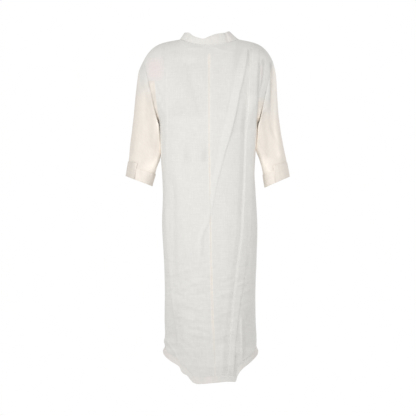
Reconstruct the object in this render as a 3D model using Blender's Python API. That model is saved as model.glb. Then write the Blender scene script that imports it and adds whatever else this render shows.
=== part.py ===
"""A long linen dress as it looks when it is worn, empty: two back panels, a front, two sleeves with
turned-up cuffs, a stand collar and the bands of its curved hem. The back faces -Y, +Z is up, and the
origin is midway between the two points where the shoulder seams meet the collar. Metres.

Every panel is read from one smooth surface, which the tables below give as sections and lines. The
same points serve both sides of a seam, so the cut edges run side by side.
"""

import math
from collections import namedtuple

import bmesh
import bpy
import numpy as np

WALL = 0.0015
SEAM_GAP = 0.0003
CORNER_LIMIT = 0.6
PROBE = 0.001
BACK, FRONT = -1, 1
LEFT, RIGHT = -1, 1

# Body: sections of the dress at heights, as half widths, place of the centre back seam, depths and
# the power of the rounded outline, where 2 is an ellipse
Section = namedtuple("Section", "height left right seam back front power")
SECTIONS = [
    Section(-1.240, 0.163, 0.174, 0.024, 0.108, 0.110, 2.2),
    Section(-1.090, 0.163, 0.174, 0.018, 0.112, 0.112, 2.2),
    Section(-1.000, 0.161, 0.167, 0.013, 0.115, 0.114, 2.2),
    Section(-0.900, 0.158, 0.166, 0.010, 0.118, 0.116, 2.2),
    Section(-0.790, 0.161, 0.170, 0.007, 0.120, 0.118, 2.3),
    Section(-0.660, 0.168, 0.173, 0.005, 0.118, 0.118, 2.3),
    Section(-0.550, 0.165, 0.167, 0.003, 0.112, 0.116, 2.3),
    Section(-0.480, 0.168, 0.163, 0.002, 0.108, 0.116, 2.3),
    Section(-0.412, 0.1730, 0.1660, 0.001, 0.108, 0.118, 2.3),
    Section(-0.370, 0.1740, 0.1700, 0.000, 0.110, 0.120, 2.3),
    Section(-0.340, 0.1745, 0.1715, 0.000, 0.112, 0.122, 2.3),
    Section(-0.320, 0.1755, 0.1725, 0.000, 0.114, 0.123, 2.3),
    Section(-0.306, 0.1775, 0.1745, 0.000, 0.115, 0.124, 2.3),
    Section(-0.294, 0.182, 0.179, 0.000, 0.116, 0.125, 2.3),
]
UNDERARM = -0.294

# Depth of the centre lines above the underarm
Depth = namedtuple("Depth", "height back front")
CENTRE_DEPTHS = [
    Depth(-0.294, 0.116, 0.125),
    Depth(-0.220, 0.118, 0.124),
    Depth(-0.150, 0.112, 0.113),
    Depth(-0.085, 0.097, 0.090),
    Depth(-0.045, 0.079, 0.066),
    Depth(-0.021, 0.063, 0.050),
]

# Neckline and shoulder
NECK_HALF_WIDTH = {LEFT: 0.104, RIGHT: 0.107}
NECK_SIDE_HEIGHT = 0.002
NECK_DEPTH = {BACK: 0.063, FRONT: 0.090}
NECK_LOW = {BACK: -0.021, FRONT: -0.085}
NECK_SHARE = 0.42
SHOULDER_TIP = {LEFT: (0.2345, -0.075), RIGHT: (0.2275, -0.075)}
SHOULDER_EVEN_SHARE = 0.3
SHOULDER_ROUND_POWER = 4.4

# Hem: the height of the lower edge along the back and the front, as the share of the half width
HemPoint = namedtuple("HemPoint", "across height")
HEM_BAND = 0.025
HEM_BACK = [
    HemPoint(-1.00, -1.105),
    HemPoint(-0.90, -1.128),
    HemPoint(-0.65, -1.168),
    HemPoint(-0.46, -1.201),
    HemPoint(-0.34, -1.228),
    HemPoint(-0.18, -1.231),
    HemPoint(0.17, -1.226),
    HemPoint(0.55, -1.223),
    HemPoint(0.64, -1.184),
    HemPoint(0.78, -1.162),
    HemPoint(0.95, -1.132),
    HemPoint(1.00, -1.105),
]
HEM_FRONT = [
    HemPoint(-1.00, -1.105),
    HemPoint(-0.80, -1.135),
    HemPoint(-0.50, -1.158),
    HemPoint(0.00, -1.165),
    HemPoint(0.50, -1.158),
    HemPoint(0.80, -1.135),
    HemPoint(1.00, -1.105),
]

# Sleeves: rings from the armhole to the wrist, as outer and inner point, how far forward the ring
# lies and its half depth
Ring = namedtuple("Ring", "outer_x outer_z inner_x inner_z forward half_depth")
SLEEVE_RINGS = {
    LEFT: [
        Ring(0.2345, -0.075, 0.1820, -0.294, 0.000, 0.064),
        Ring(0.2500, -0.107, 0.1820, -0.306, 0.004, 0.064),
        Ring(0.2580, -0.150, 0.1800, -0.322, 0.013, 0.064),
        Ring(0.2655, -0.222, 0.1770, -0.352, 0.024, 0.063),
        Ring(0.2740, -0.300, 0.1760, -0.390, 0.033, 0.062),
        Ring(0.2830, -0.372, 0.1795, -0.425, 0.039, 0.061),
        Ring(0.2880, -0.425, 0.1880, -0.457, 0.043, 0.059),
        Ring(0.2940, -0.462, 0.1960, -0.490, 0.045, 0.058),
        Ring(0.2985, -0.487, 0.2050, -0.523, 0.046, 0.057),
    ],
    RIGHT: [
        Ring(0.2275, -0.075, 0.1790, -0.294, 0.000, 0.064),
        Ring(0.2370, -0.107, 0.1790, -0.306, 0.004, 0.064),
        Ring(0.2425, -0.150, 0.1770, -0.322, 0.013, 0.064),
        Ring(0.2460, -0.222, 0.1740, -0.352, 0.024, 0.063),
        Ring(0.2540, -0.300, 0.1730, -0.390, 0.033, 0.062),
        Ring(0.2660, -0.372, 0.1780, -0.425, 0.039, 0.061),
        Ring(0.2770, -0.425, 0.1870, -0.459, 0.043, 0.059),
        Ring(0.2840, -0.462, 0.1930, -0.495, 0.045, 0.058),
        Ring(0.2890, -0.489, 0.2010, -0.528, 0.046, 0.057),
    ],
}
SLEEVE_END = 7.93

# Cuffs: the sleeve column of the vent at the back of the arm, the ring that the top edge reaches on
# the inner arm and at the vent's outer end, and the air under the cloth
CUFF_VENT = {LEFT: 6, RIGHT: 5}
CUFF_END = 8.0
CUFF_TOP = 6.65
CUFF_VENT_TOP = 6.15
CUFF_RISE_COLUMNS = 12
CUFF_CLEARANCE = 0.0003

# Collar: height of its top edge and how far the edge leans in, by place round the neck from the left
# side (-1) over the centre back (0) to the right side (1) and the centre front (2)
CollarEdge = namedtuple("CollarEdge", "around height lean")
COLLAR_EDGE = [
    CollarEdge(-2.00, -0.060, 0.90),
    CollarEdge(-1.50, -0.022, 0.88),
    CollarEdge(-1.00, 0.023, 0.86),
    CollarEdge(-0.75, 0.0255, 0.86),
    CollarEdge(-0.58, 0.0235, 0.86),
    CollarEdge(-0.42, 0.0120, 0.86),
    CollarEdge(-0.28, 0.0055, 0.86),
    CollarEdge(-0.14, 0.0020, 0.85),
    CollarEdge(0.00, 0.0100, 0.80),
    CollarEdge(0.18, 0.0185, 0.76),
    CollarEdge(0.50, 0.0240, 0.73),
    CollarEdge(0.75, 0.0295, 0.72),
    CollarEdge(1.00, 0.0240, 0.72),
    CollarEdge(1.50, -0.022, 0.82),
    CollarEdge(2.00, -0.060, 0.90),
]

# Folds: crests (rise above 0) and troughs, from a start to an end in the view from behind, bowed
# sideways by a bend, with the width of the slope on each hand
Fold = namedtuple("Fold", "face start_x start_z end_x end_z bend left_slope right_slope rise")
FOLDS = [
    Fold(BACK, 0.128, -0.060, 0.000, -0.610, -0.004, 0.018, 0.009, 0.0090),
    Fold(BACK, 0.003, -0.590, -0.034, -0.790, -0.008, 0.014, 0.009, 0.0060),
    Fold(BACK, 0.148, -0.060, 0.072, -1.190, 0.010, 0.011, 0.014, 0.0080),
    Fold(BACK, 0.128, -0.150, 0.108, -0.450, 0.000, 0.010, 0.012, -0.0050),
    Fold(BACK, 0.190, -0.060, 0.168, -0.420, -0.006, 0.009, 0.010, -0.0050),
    Fold(BACK, -0.160, -0.050, -0.117, -1.080, -0.010, 0.010, 0.012, 0.0050),
    Fold(BACK, -0.130, -0.480, -0.124, -0.860, 0.000, 0.010, 0.010, -0.0035),
    Fold(BACK, -0.080, -0.060, -0.012, -0.300, -0.006, 0.014, 0.018, -0.0040),
    Fold(BACK, 0.110, -0.950, 0.106, -1.160, 0.000, 0.009, 0.009, 0.0050),
    Fold(BACK, -0.060, -0.930, -0.030, -1.190, 0.006, 0.020, 0.020, -0.0030),
    Fold(FRONT, -0.120, -0.100, -0.030, -0.700, 0.008, 0.012, 0.018, 0.0070),
    Fold(FRONT, 0.135, -0.080, 0.120, -1.080, 0.008, 0.012, 0.012, 0.0065),
    Fold(FRONT, 0.070, -0.200, 0.062, -0.900, -0.006, 0.014, 0.012, -0.0040),
    Fold(FRONT, -0.135, -0.350, -0.118, -1.090, -0.008, 0.012, 0.012, 0.0065),
    Fold(FRONT, -0.060, -0.620, -0.055, -1.120, 0.006, 0.014, 0.014, -0.0035),
]
FOLD_FADE = 0.12
SIDE_FADE = 0.030

# Soft creases of the sleeves, as crests in ring and share of the way round
SleeveFold = namedtuple("SleeveFold", "hand start_around start_ring end_around end_ring width rise")
SLEEVE_FOLDS = [
    SleeveFold(LEFT, 0.16, 1.2, 0.34, 5.6, 0.045, 0.0045),
    SleeveFold(LEFT, 0.08, 2.6, 0.14, 6.0, 0.040, -0.0035),
    SleeveFold(LEFT, 0.70, 1.5, 0.80, 5.8, 0.050, 0.0045),
    SleeveFold(RIGHT, 0.20, 1.0, 0.30, 5.5, 0.045, 0.0050),
    SleeveFold(RIGHT, 0.10, 2.2, 0.16, 5.8, 0.040, -0.0040),
    SleeveFold(RIGHT, 0.72, 1.6, 0.78, 6.0, 0.050, 0.0045),
]

# Fineness of the panels
NECK_COLUMNS = {LEFT: 7, RIGHT: 9}
SHOULDER_COLUMNS = {LEFT: 9, RIGHT: 12}
BODY_ROWS = 20
BAND_ROWS = 2
YOKE_ROWS = 11
SLEEVE_STEPS = 14
CUFF_ROWS = 2
COLLAR_ROWS = 3

LINEN = (0.80, 0.78, 0.74)
LINEN_SLEEVE = (0.84, 0.80, 0.73)
LINEN_ROUGHNESS = 0.9


def curve(knots, values, at):
    """A smooth curve through the table's points, read at one place."""
    knots = np.asarray(knots, float)
    values = np.asarray(values, float)
    at = min(max(at, knots[0]), knots[-1])
    i = int(min(max(np.searchsorted(knots, at) - 1, 0), len(knots) - 2))
    chords = np.diff(values) / np.diff(knots)
    slopes = np.empty(len(knots))
    slopes[0] = chords[0]
    slopes[-1] = chords[-1]
    slopes[1:-1] = (chords[:-1] + chords[1:]) / 2
    step = knots[i + 1] - knots[i]
    t = (at - knots[i]) / step
    start = values[i] * (1 + 2 * t) * (1 - t) ** 2 + slopes[i] * step * t * (1 - t) ** 2
    end = values[i + 1] * (3 - 2 * t) * t * t + slopes[i + 1] * step * t * t * (t - 1)
    return float(start + end)


def column(table, field):
    return [getattr(row, field) for row in table]


def ease(t):
    t = min(max(t, 0.0), 1.0)
    return t * t * (3 - 2 * t)


def section(field, z):
    return curve(column(SECTIONS, "height"), column(SECTIONS, field), z)


def face_field(face):
    return "back" if face == BACK else "front"


def body_point(face, hand, u, z):
    """The body below the underarm: u runs from the centre line to the side seam."""
    half = section("left" if hand == LEFT else "right", z)
    depth = section(face_field(face), z)
    middle = section("seam", z) if face == BACK else 0.0
    power = 2 / section("power", z)
    angle = u * math.pi / 2
    x = middle + (hand * half - middle) * math.sin(angle) ** power
    y = face * depth * max(math.cos(angle), 0.0) ** power
    if u == 1:
        return np.array((hand * half, 0.0, z))
    return np.array((x, y, z))


def hem_height(face, hand, u):
    table = HEM_BACK if face == BACK else HEM_FRONT
    share = hand * math.sin(u * math.pi / 2)
    return float(np.interp(share, column(table, "across"), column(table, "height")))


def neck_point(face, hand, turn):
    """The neckline: turn runs from the centre line (0) to the shoulder seam (1)."""
    angle = turn * math.pi / 2
    x = hand * NECK_HALF_WIDTH[hand] * math.sin(angle)
    y = face * NECK_DEPTH[face] * math.cos(angle)
    z = NECK_LOW[face] + (NECK_SIDE_HEIGHT - NECK_LOW[face]) * math.sin(angle) ** 2
    if turn == 1:
        y = 0.0
    return np.array((x, y, z))


def shoulder_point(hand, f):
    """The shoulder seam: f runs from the collar (0) to the armhole (1)."""
    tip_x, tip_z = SHOULDER_TIP[hand]
    x = hand * (NECK_HALF_WIDTH[hand] + (tip_x - NECK_HALF_WIDTH[hand]) * f)
    fall = SHOULDER_EVEN_SHARE * f + (1 - SHOULDER_EVEN_SHARE) * f**SHOULDER_ROUND_POWER
    z = NECK_SIDE_HEIGHT + (tip_z - NECK_SIDE_HEIGHT) * fall
    return np.array((x, 0.0, z))


def ring_value(hand, field, k):
    rows = SLEEVE_RINGS[hand]
    return curve(range(len(rows)), column(rows, field), k)


def sleeve_point(hand, k, around):
    """A sleeve ring at k: around runs from the inner arm (0) over the back to the outer arm (0.5)."""
    angle = around * 2 * math.pi
    share = (1 - math.cos(angle)) / 2
    inner = np.array((ring_value(hand, "inner_x", k), ring_value(hand, "inner_z", k)))
    outer = np.array((ring_value(hand, "outer_x", k), ring_value(hand, "outer_z", k)))
    x, z = inner + (outer - inner) * share
    y = ring_value(hand, "forward", k) - ring_value(hand, "half_depth", k) * math.sin(angle)
    return np.array((hand * x, y, z))


def sleeve_normal(hand, k, around):
    """Outward from the sleeve's smooth surface."""
    along = sleeve_point(hand, k - PROBE, around) - sleeve_point(hand, k + PROBE, around)
    across = sleeve_point(hand, k, around + PROBE) - sleeve_point(hand, k, around - PROBE)
    normal = hand * np.cross(across, along)
    return normal / np.linalg.norm(normal)


def armhole_point(face, hand, w):
    """The armhole seam: w runs from the underarm (0) to the shoulder tip (1)."""
    return sleeve_point(hand, 0, w / 2 if face == BACK else 1 - w / 2)


def top_point(face, hand, u):
    if u <= NECK_SHARE:
        return neck_point(face, hand, u / NECK_SHARE)
    return shoulder_point(hand, (u - NECK_SHARE) / (1 - NECK_SHARE))


def arch(low, high, w):
    """A quarter arch from low to high that starts upright and ends level."""
    turn = w * math.pi / 2
    across = 1 - math.cos(turn)
    up = math.sin(turn)
    return np.array((
        low[0] + (high[0] - low[0]) * w,
        low[1] + (high[1] - low[1]) * across,
        low[2] + (high[2] - low[2]) * up,
    ))


def centre_point(face, w):
    z = UNDERARM + (NECK_LOW[face] - UNDERARM) * w
    depth = curve(column(CENTRE_DEPTHS, "height"), column(CENTRE_DEPTHS, face_field(face)), z)
    return np.array((0.0, face * depth, z))


def yoke_point(face, hand, u, w):
    """The body above the underarm, between the centre line, the armhole, the neck and the shoulder."""
    def span(place):
        return arch(body_point(face, hand, place, UNDERARM), top_point(face, hand, place), w)

    if w == 0:
        return body_point(face, hand, u, UNDERARM)
    if w == 1:
        return top_point(face, hand, u)
    if u == 1:
        return armhole_point(face, hand, w)
    centre = centre_point(face, w) - span(0)
    edge = armhole_point(face, hand, w) - span(1)
    return span(u) + (1 - u) * centre + u * edge


def shares(hand):
    """Where the columns of one half of a body panel stand, from the centre line to the side."""
    neck = NECK_COLUMNS[hand]
    shoulder = SHOULDER_COLUMNS[hand]
    inner = [NECK_SHARE * i / neck for i in range(neck + 1)]
    outer = [NECK_SHARE + (1 - NECK_SHARE) * i / shoulder for i in range(1, shoulder)]
    return inner + outer + [1]


def half_columns(face, hand, first_row, last_row):
    """One half of a body panel, rows from the hem up, columns from the centre line out."""
    grid = []
    for row in range(first_row, last_row + 1):
        points = []
        for u in shares(hand):
            hem = hem_height(face, hand, u)
            if row <= BAND_ROWS:
                points.append(body_point(face, hand, u, hem + HEM_BAND * row / BAND_ROWS))
            elif row <= BAND_ROWS + BODY_ROWS:
                v = (row - BAND_ROWS) / BODY_ROWS
                z = (hem + HEM_BAND) * (1 - v) + UNDERARM * v
                points.append(body_point(face, hand, u, UNDERARM if v == 1 else z))
            else:
                points.append(yoke_point(face, hand, u, (row - BAND_ROWS - BODY_ROWS) / YOKE_ROWS))
        grid.append(points)
    return np.array(grid)


def panel(face, hands, first_row, last_row):
    """A panel's grid with its columns running to the right on the back and to the left on the front."""
    halves = {hand: half_columns(face, hand, first_row, last_row) for hand in hands}
    if len(hands) == 2:
        left, right = halves[LEFT], halves[RIGHT]
        grid = np.concatenate([left[:, ::-1], right[:, 1:]], axis=1)
    elif hands[0] == LEFT:
        grid = halves[LEFT][:, ::-1]
    else:
        grid = halves[RIGHT]
    return grid if face == BACK else grid[:, ::-1]


def sleeve_grid(hand):
    """A sleeve's rings from the wrist up to the armhole, closed round."""
    count = 2 * YOKE_ROWS
    around = [i / count for i in range(count)]
    if hand == LEFT:
        around = [0.0] + around[:0:-1]
    rows = []
    for step in range(SLEEVE_STEPS, -1, -1):
        k = SLEEVE_END * step / SLEEVE_STEPS
        rows.append([sleeve_point(hand, k, a) for a in around])
    return np.array(rows)


def collar_grid():
    """The stand collar, round the neck from the left side over the back, closed."""
    ring = [(BACK, LEFT, 1 - i / NECK_COLUMNS[LEFT]) for i in range(NECK_COLUMNS[LEFT])]
    ring += [(BACK, RIGHT, i / NECK_COLUMNS[RIGHT]) for i in range(NECK_COLUMNS[RIGHT])]
    ring += [(FRONT, RIGHT, 1 - i / NECK_COLUMNS[RIGHT]) for i in range(NECK_COLUMNS[RIGHT])]
    ring += [(FRONT, LEFT, i / NECK_COLUMNS[LEFT]) for i in range(NECK_COLUMNS[LEFT])]
    around = column(COLLAR_EDGE, "around")
    rows = []
    for row in range(COLLAR_ROWS + 1):
        share = row / COLLAR_ROWS
        points = []
        for face, hand, turn in ring:
            base = neck_point(face, hand, turn)
            place = hand * turn if face == BACK else hand * (2 - turn)
            top = curve(around, column(COLLAR_EDGE, "height"), place)
            lean = curve(around, column(COLLAR_EDGE, "lean"), place)
            crown = np.array((base[0] * lean, base[1] * (1 + lean) / 2, top))
            points.append(base * (1 - share) + crown * share)
        rows.append(points)
    return np.array(rows)


def face_normals(grid, closed):
    around = np.roll(grid, -1, axis=1) if closed else grid[:, 1:]
    here = grid if closed else grid[:, :-1]
    return np.cross(around[1:] - here[:-1], here[1:] - around[:-1])


def key(point):
    return tuple(round(float(c), 6) + 0.0 for c in point)


def group_of(name):
    return name if name.startswith(("sleeve", "collar")) else "body"


def shared_normals(grids):
    """Outward normals of all panels. Where body, sleeve and collar meet, each counts alike."""
    groups = {}
    for name, (grid, closed) in grids.items():
        sums = groups.setdefault(group_of(name), {})
        normals = face_normals(grid, closed)
        rows, count = normals.shape[:2]
        for r in range(rows):
            for c in range(count):
                right = (c + 1) % grid.shape[1]
                for point in (grid[r, c], grid[r, right], grid[r + 1, c], grid[r + 1, right]):
                    sums[key(point)] = sums.get(key(point), 0) + normals[r, c]
    total = {}
    for sums in groups.values():
        for place, way in sums.items():
            total[place] = total.get(place, 0) + way / np.linalg.norm(way)
    return {place: way / np.linalg.norm(way) for place, way in total.items()}


def normals_of(grid, table):
    return np.array([[table[key(point)] for point in row] for row in grid])


def fold_rise(point):
    """How far the folds lift a point of the body off its smooth surface."""
    face = BACK if point[1] < 0 else FRONT
    total = 0.0
    for fold in FOLDS:
        if fold.face != face:
            continue
        run = np.array((fold.end_x - fold.start_x, fold.end_z - fold.start_z))
        length = np.linalg.norm(run)
        run = run / length
        offset = np.array((point[0] - fold.start_x, point[2] - fold.start_z))
        along = float(offset @ run) / length
        if along <= 0 or along >= 1:
            continue
        aside = float(offset @ np.array((-run[1], run[0]))) - fold.bend * 4 * along * (1 - along)
        slope = fold.left_slope if aside < 0 else fold.right_slope
        ends = ease(along / FOLD_FADE) * ease((1 - along) / FOLD_FADE)
        total += fold.rise * ends * math.exp(-((aside / slope) ** 2))
    return total * ease(abs(point[1]) / SIDE_FADE)


def fold_body(grid, normals):
    lift = np.array([[fold_rise(point) for point in row] for row in grid])
    return grid + normals * lift[..., None]


def sleeve_rise(hand, k, around):
    total = 0.0
    for fold in SLEEVE_FOLDS:
        if fold.hand != hand or not fold.start_ring < k < fold.end_ring:
            continue
        t = (k - fold.start_ring) / (fold.end_ring - fold.start_ring)
        crest = fold.start_around + (fold.end_around - fold.start_around) * t
        total += fold.rise * math.sin(math.pi * t) * math.exp(-(((around - crest) / fold.width) ** 2))
    return total


def fold_sleeve(hand, grid, normals):
    out = grid.copy()
    count = grid.shape[1]
    for r in range(grid.shape[0]):
        k = SLEEVE_END * (1 - r / SLEEVE_STEPS)
        for c in range(count):
            around = (hand * c / count) % 1.0
            out[r, c] += normals[r, c] * sleeve_rise(hand, k, around)
    return out


def square_to(edge, inner, normal, closed):
    """The way in from each point of a cut edge, square to the edge and lengthened at its corners."""
    run = np.roll(edge, -1, axis=0) - edge if closed else np.diff(edge, axis=0)
    before = np.roll(run, 1, axis=0) if closed else np.vstack([run[:1], run])
    after = run if closed else np.vstack([run, run[-1:]])
    ways = []
    for side in (before, after):
        way = np.cross(normal, side)
        way /= np.linalg.norm(way, axis=-1, keepdims=True)
        ways.append(way * np.sign((way * (inner - edge)).sum(-1, keepdims=True)))
    middle = ways[0] + ways[1]
    middle /= np.linalg.norm(middle, axis=-1, keepdims=True)
    return middle / np.maximum((middle * ways[0]).sum(-1, keepdims=True), CORNER_LIMIT)


def pull_back(grid, normals, closed):
    """The cut edges drawn back from the seam line by half the gap."""
    out = grid.copy()
    half = SEAM_GAP / 2
    out[0] += half * square_to(grid[0], grid[1], normals[0], closed)
    out[-1] += half * square_to(grid[-1], grid[-2], normals[-1], closed)
    if not closed:
        out[:, 0] += half * square_to(grid[:, 0], grid[:, 1], normals[:, 0], False)
        out[:, -1] += half * square_to(grid[:, -1], grid[:, -2], normals[:, -1], False)
    return out


def wall(name, outer, inner, closed, material, collection):
    """A closed solid between an outer and an inner grid of points."""
    mesh = bmesh.new()
    rows, count = outer.shape[:2]
    out = [[mesh.verts.new(p) for p in row] for row in outer]
    back = [[mesh.verts.new(p) for p in row] for row in inner]
    spans = range(count) if closed else range(count - 1)
    for r in range(rows - 1):
        for c in spans:
            d = (c + 1) % count
            mesh.faces.new((out[r][c], out[r][d], out[r + 1][d], out[r + 1][c]))
            mesh.faces.new((back[r][c], back[r + 1][c], back[r + 1][d], back[r][d]))
    for c in spans:
        d = (c + 1) % count
        mesh.faces.new((out[0][d], out[0][c], back[0][c], back[0][d]))
        mesh.faces.new((out[-1][c], out[-1][d], back[-1][d], back[-1][c]))
    if not closed:
        for r in range(rows - 1):
            mesh.faces.new((out[r][0], out[r + 1][0], back[r + 1][0], back[r][0]))
            mesh.faces.new((out[r + 1][-1], out[r][-1], back[r][-1], back[r + 1][-1]))
    data = bpy.data.meshes.new(name)
    mesh.to_mesh(data)
    mesh.free()
    data.shade_smooth()
    data.materials.append(material)
    made = bpy.data.objects.new(name, data)
    collection.objects.link(made)
    return made


def linen(name, colour):
    material = bpy.data.materials.new(name)
    material.use_nodes = True
    shader = material.node_tree.nodes["Principled BSDF"]
    shader.inputs["Base Color"].default_value = (*colour, 1)
    shader.inputs["Roughness"].default_value = LINEN_ROUGHNESS
    shader.inputs["Metallic"].default_value = 0.0
    return material


def cuff_faces(hand):
    """Inner and outer points of a cuff: a strip round the sleeve's end, whose outer end passes over
    its inner end at the back of the arm."""
    count = 2 * YOKE_ROWS
    inner = []
    outer = []
    for row in range(CUFF_ROWS + 1):
        low = []
        high = []
        for i in range(count + 2):
            around = (CUFF_VENT[hand] + 1 - i) / count
            over = i >= count
            climb = ease((i - count + CUFF_RISE_COLUMNS) / CUFF_RISE_COLUMNS)
            top = CUFF_TOP + (CUFF_VENT_TOP - CUFF_TOP) * climb
            k = CUFF_END + (top - CUFF_END) * row / CUFF_ROWS
            point = sleeve_point(hand, k, around)
            way = sleeve_normal(hand, k, around)
            lift = CUFF_CLEARANCE + (WALL + CUFF_CLEARANCE if over else 0.0)
            low.append(point + way * lift)
            high.append(point + way * (lift + WALL))
        inner.append(low)
        outer.append(high)
    faces = np.array((inner, outer))
    return faces if hand == LEFT else faces[:, :, ::-1]


def main():
    for thing in list(bpy.data.objects):
        bpy.data.objects.remove(thing, do_unlink=True)
    collection = bpy.data.collections.new("midi_dress")
    bpy.context.scene.collection.children.link(collection)

    top = BAND_ROWS + BODY_ROWS + YOKE_ROWS
    grids = {
        "back_left": (panel(BACK, (LEFT,), BAND_ROWS, top), False),
        "back_right": (panel(BACK, (RIGHT,), BAND_ROWS, top), False),
        "front": (panel(FRONT, (LEFT, RIGHT), BAND_ROWS, top), False),
        "hem_band_back": (panel(BACK, (LEFT, RIGHT), 0, BAND_ROWS), False),
        "hem_band_front": (panel(FRONT, (LEFT, RIGHT), 0, BAND_ROWS), False),
        "sleeve_left": (sleeve_grid(LEFT), True),
        "sleeve_right": (sleeve_grid(RIGHT), True),
        "collar": (collar_grid(), True),
    }
    table = shared_normals(grids)
    for name, (grid, closed) in grids.items():
        normals = normals_of(grid, table)
        if name.startswith("sleeve"):
            hand = LEFT if name.endswith("left") else RIGHT
            grids[name] = (fold_sleeve(hand, grid, normals), closed)
        elif name != "collar":
            grids[name] = (fold_body(grid, normals), closed)
    table = shared_normals(grids)
    for name, (grid, closed) in grids.items():
        normals = normals_of(grid, table)
        outer = pull_back(grid, normals, closed)
        colour = LINEN_SLEEVE if name.startswith("sleeve") else LINEN
        wall(name, outer, outer - WALL * normals, closed, linen("linen_" + name, colour), collection)
    for name, hand in (("cuff_left", LEFT), ("cuff_right", RIGHT)):
        inner, outer = cuff_faces(hand)
        wall(name, outer, inner, False, linen("linen_" + name, LINEN_SLEEVE), collection)


main()
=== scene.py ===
"""A long linen dress, worn by nobody: two back panels, a front, sleeves with turned-up cuffs, a stand
collar and the bands of a curved hem. The back faces -Y and +Z is up. Metres, but the long tables are
written in millimetres.

Every panel is a thin sheet of cloth on the form of its solid. The tables give the form as sections,
lines and folds, and the cloth's edges roll in at the seams.
"""

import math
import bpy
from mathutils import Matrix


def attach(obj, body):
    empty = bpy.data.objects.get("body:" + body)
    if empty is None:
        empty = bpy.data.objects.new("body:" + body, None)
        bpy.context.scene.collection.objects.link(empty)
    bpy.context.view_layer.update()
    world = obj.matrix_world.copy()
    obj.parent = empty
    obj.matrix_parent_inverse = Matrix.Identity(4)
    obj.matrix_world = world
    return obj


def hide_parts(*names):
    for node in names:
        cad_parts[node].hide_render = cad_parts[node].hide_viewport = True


bl_info = {
    "name": "Linen midi dress",
    "version": (1, 0, 0),
    "blender": (4, 5, 0),
    "location": "3D View > Sidebar > Midi dress",
    "description": "Sews a long linen dress around its packed solids",
    "category": "Add Mesh",
}

from collections import namedtuple

import bpy
import numpy as np
from mathutils import Vector

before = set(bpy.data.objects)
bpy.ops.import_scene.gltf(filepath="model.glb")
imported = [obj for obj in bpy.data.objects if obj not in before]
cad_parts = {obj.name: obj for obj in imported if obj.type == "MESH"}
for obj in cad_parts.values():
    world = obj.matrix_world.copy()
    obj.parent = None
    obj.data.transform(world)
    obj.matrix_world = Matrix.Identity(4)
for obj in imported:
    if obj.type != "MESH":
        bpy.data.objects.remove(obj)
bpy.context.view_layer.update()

BACK, FRONT = -1, 1
LEFT, RIGHT = -1, 1
NAME_OF = {LEFT: "left", RIGHT: "right"}
MM = 1000


def rows(kind, values, plain=""):
    """A table's rows, from millimetres to metres. Its plain fields are not lengths."""
    parts = [1 if field in plain.split() else MM for field in kind._fields]
    return [kind(*(value / part for value, part in zip(row, parts))) for row in values]


def new_pleat(base, slope, edge, tone, *strip):
    return Pleat(rows(PleatRow, strip), base / MM, slope, edge / MM, tone)


def new_shade(width, tone, *path):
    return Shade([(height / MM, x / MM) for height, x in path], width / MM, tone)


# Body: sections of the dress at heights, as half widths, place of the centre back seam, depths and
# the power of the rounded outline, where 2 is an ellipse
Section = namedtuple("Section", "height left right seam back front power")
SECTIONS = rows(Section, [
    (-1240, 163, 176, 24, 108, 110, 2.2), (-1125, 165, 177, 19, 111, 112, 2.2),
    (-1112, 165.2, 176.5, 18.5, 112, 112, 2.2), (-1096, 158.2, 170.2, 18, 112, 112, 2.2),
    (-1078, 161.2, 170.2, 17.5, 112, 112, 2.2), (-1062, 158, 170, 17, 113, 113, 2.2),
    (-1000, 159, 167, 13, 115, 114, 2.2), (-900, 158, 166, 10, 118, 116, 2.2),
    (-790, 161, 170, 7, 120, 118, 2.3), (-660, 168, 173, 5, 118, 118, 2.3),
    (-550, 165, 167, 3, 112, 116, 2.3), (-480, 168, 163, 2, 108, 116, 2.3),
    (-412, 173, 166, 1, 108, 118, 2.3), (-370, 174.8, 170, 0, 110, 120, 2.3),
    (-340, 177.2, 172.5, 0, 112, 122, 2.3), (-320, 179, 174.2, 0, 114, 123, 2.3),
    (-306, 180.4, 176.4, 0, 115, 124, 2.3), (-294, 182, 179, 0, 116, 125, 2.3),
], plain="power")
UNDERARM = -0.294

# Depth of the centre lines above the underarm
Depth = namedtuple("Depth", "height back front")
CENTRE_DEPTHS = rows(Depth, [
    (-294, 116, 125), (-220, 118, 124), (-150, 112, 113), (-85, 97, 90), (-45, 79, 66), (-21, 63, 50),
])

# Neckline and shoulder
NECK_HALF_WIDTH = {LEFT: 0.104, RIGHT: 0.107}
NECK_SIDE_HEIGHT = 0.002
NECK_DEPTH = {BACK: 0.063, FRONT: 0.090}
NECK_LOW = {BACK: -0.021, FRONT: -0.085}
NECK_SHARE = 0.42
SHOULDER_TIP = {LEFT: (0.2345, -0.075), RIGHT: (0.2275, -0.075)}
SHOULDER_EVEN_SHARE = 0.3
SHOULDER_ROUND_POWER = 4.4

# Hem: the height of the lower edge along the back and the front, as the share of the half width
HemPoint = namedtuple("HemPoint", "across height")
HEM_BAND = 0.025
HEM_LINE = {
    BACK: rows(HemPoint, [
        (-1, -1110), (-0.983, -1124.1), (-0.925, -1134.6), (-0.842, -1145.5), (-0.688, -1160.3),
        (-0.648, -1166.7), (-0.626, -1179.9), (-0.586, -1189.1), (-0.511, -1194.5), (-0.454, -1207.9),
        (-0.397, -1220), (-0.322, -1225.5), (-0.173, -1224.3), (-0.052, -1221.7), (0.214, -1216.8),
        (0.432, -1217.9), (0.449, -1211.5), (0.472, -1200.9), (0.534, -1183.2), (0.62, -1169.7),
        (0.792, -1150.9), (0.915, -1134.6), (0.979, -1124.1), (1, -1110),
    ], plain="across"),
    FRONT: rows(HemPoint, [
        (-1, -1110), (-0.8, -1135), (-0.5, -1158), (0, -1165), (0.5, -1158), (0.8, -1135), (1, -1110),
    ], plain="across"),
}

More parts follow.
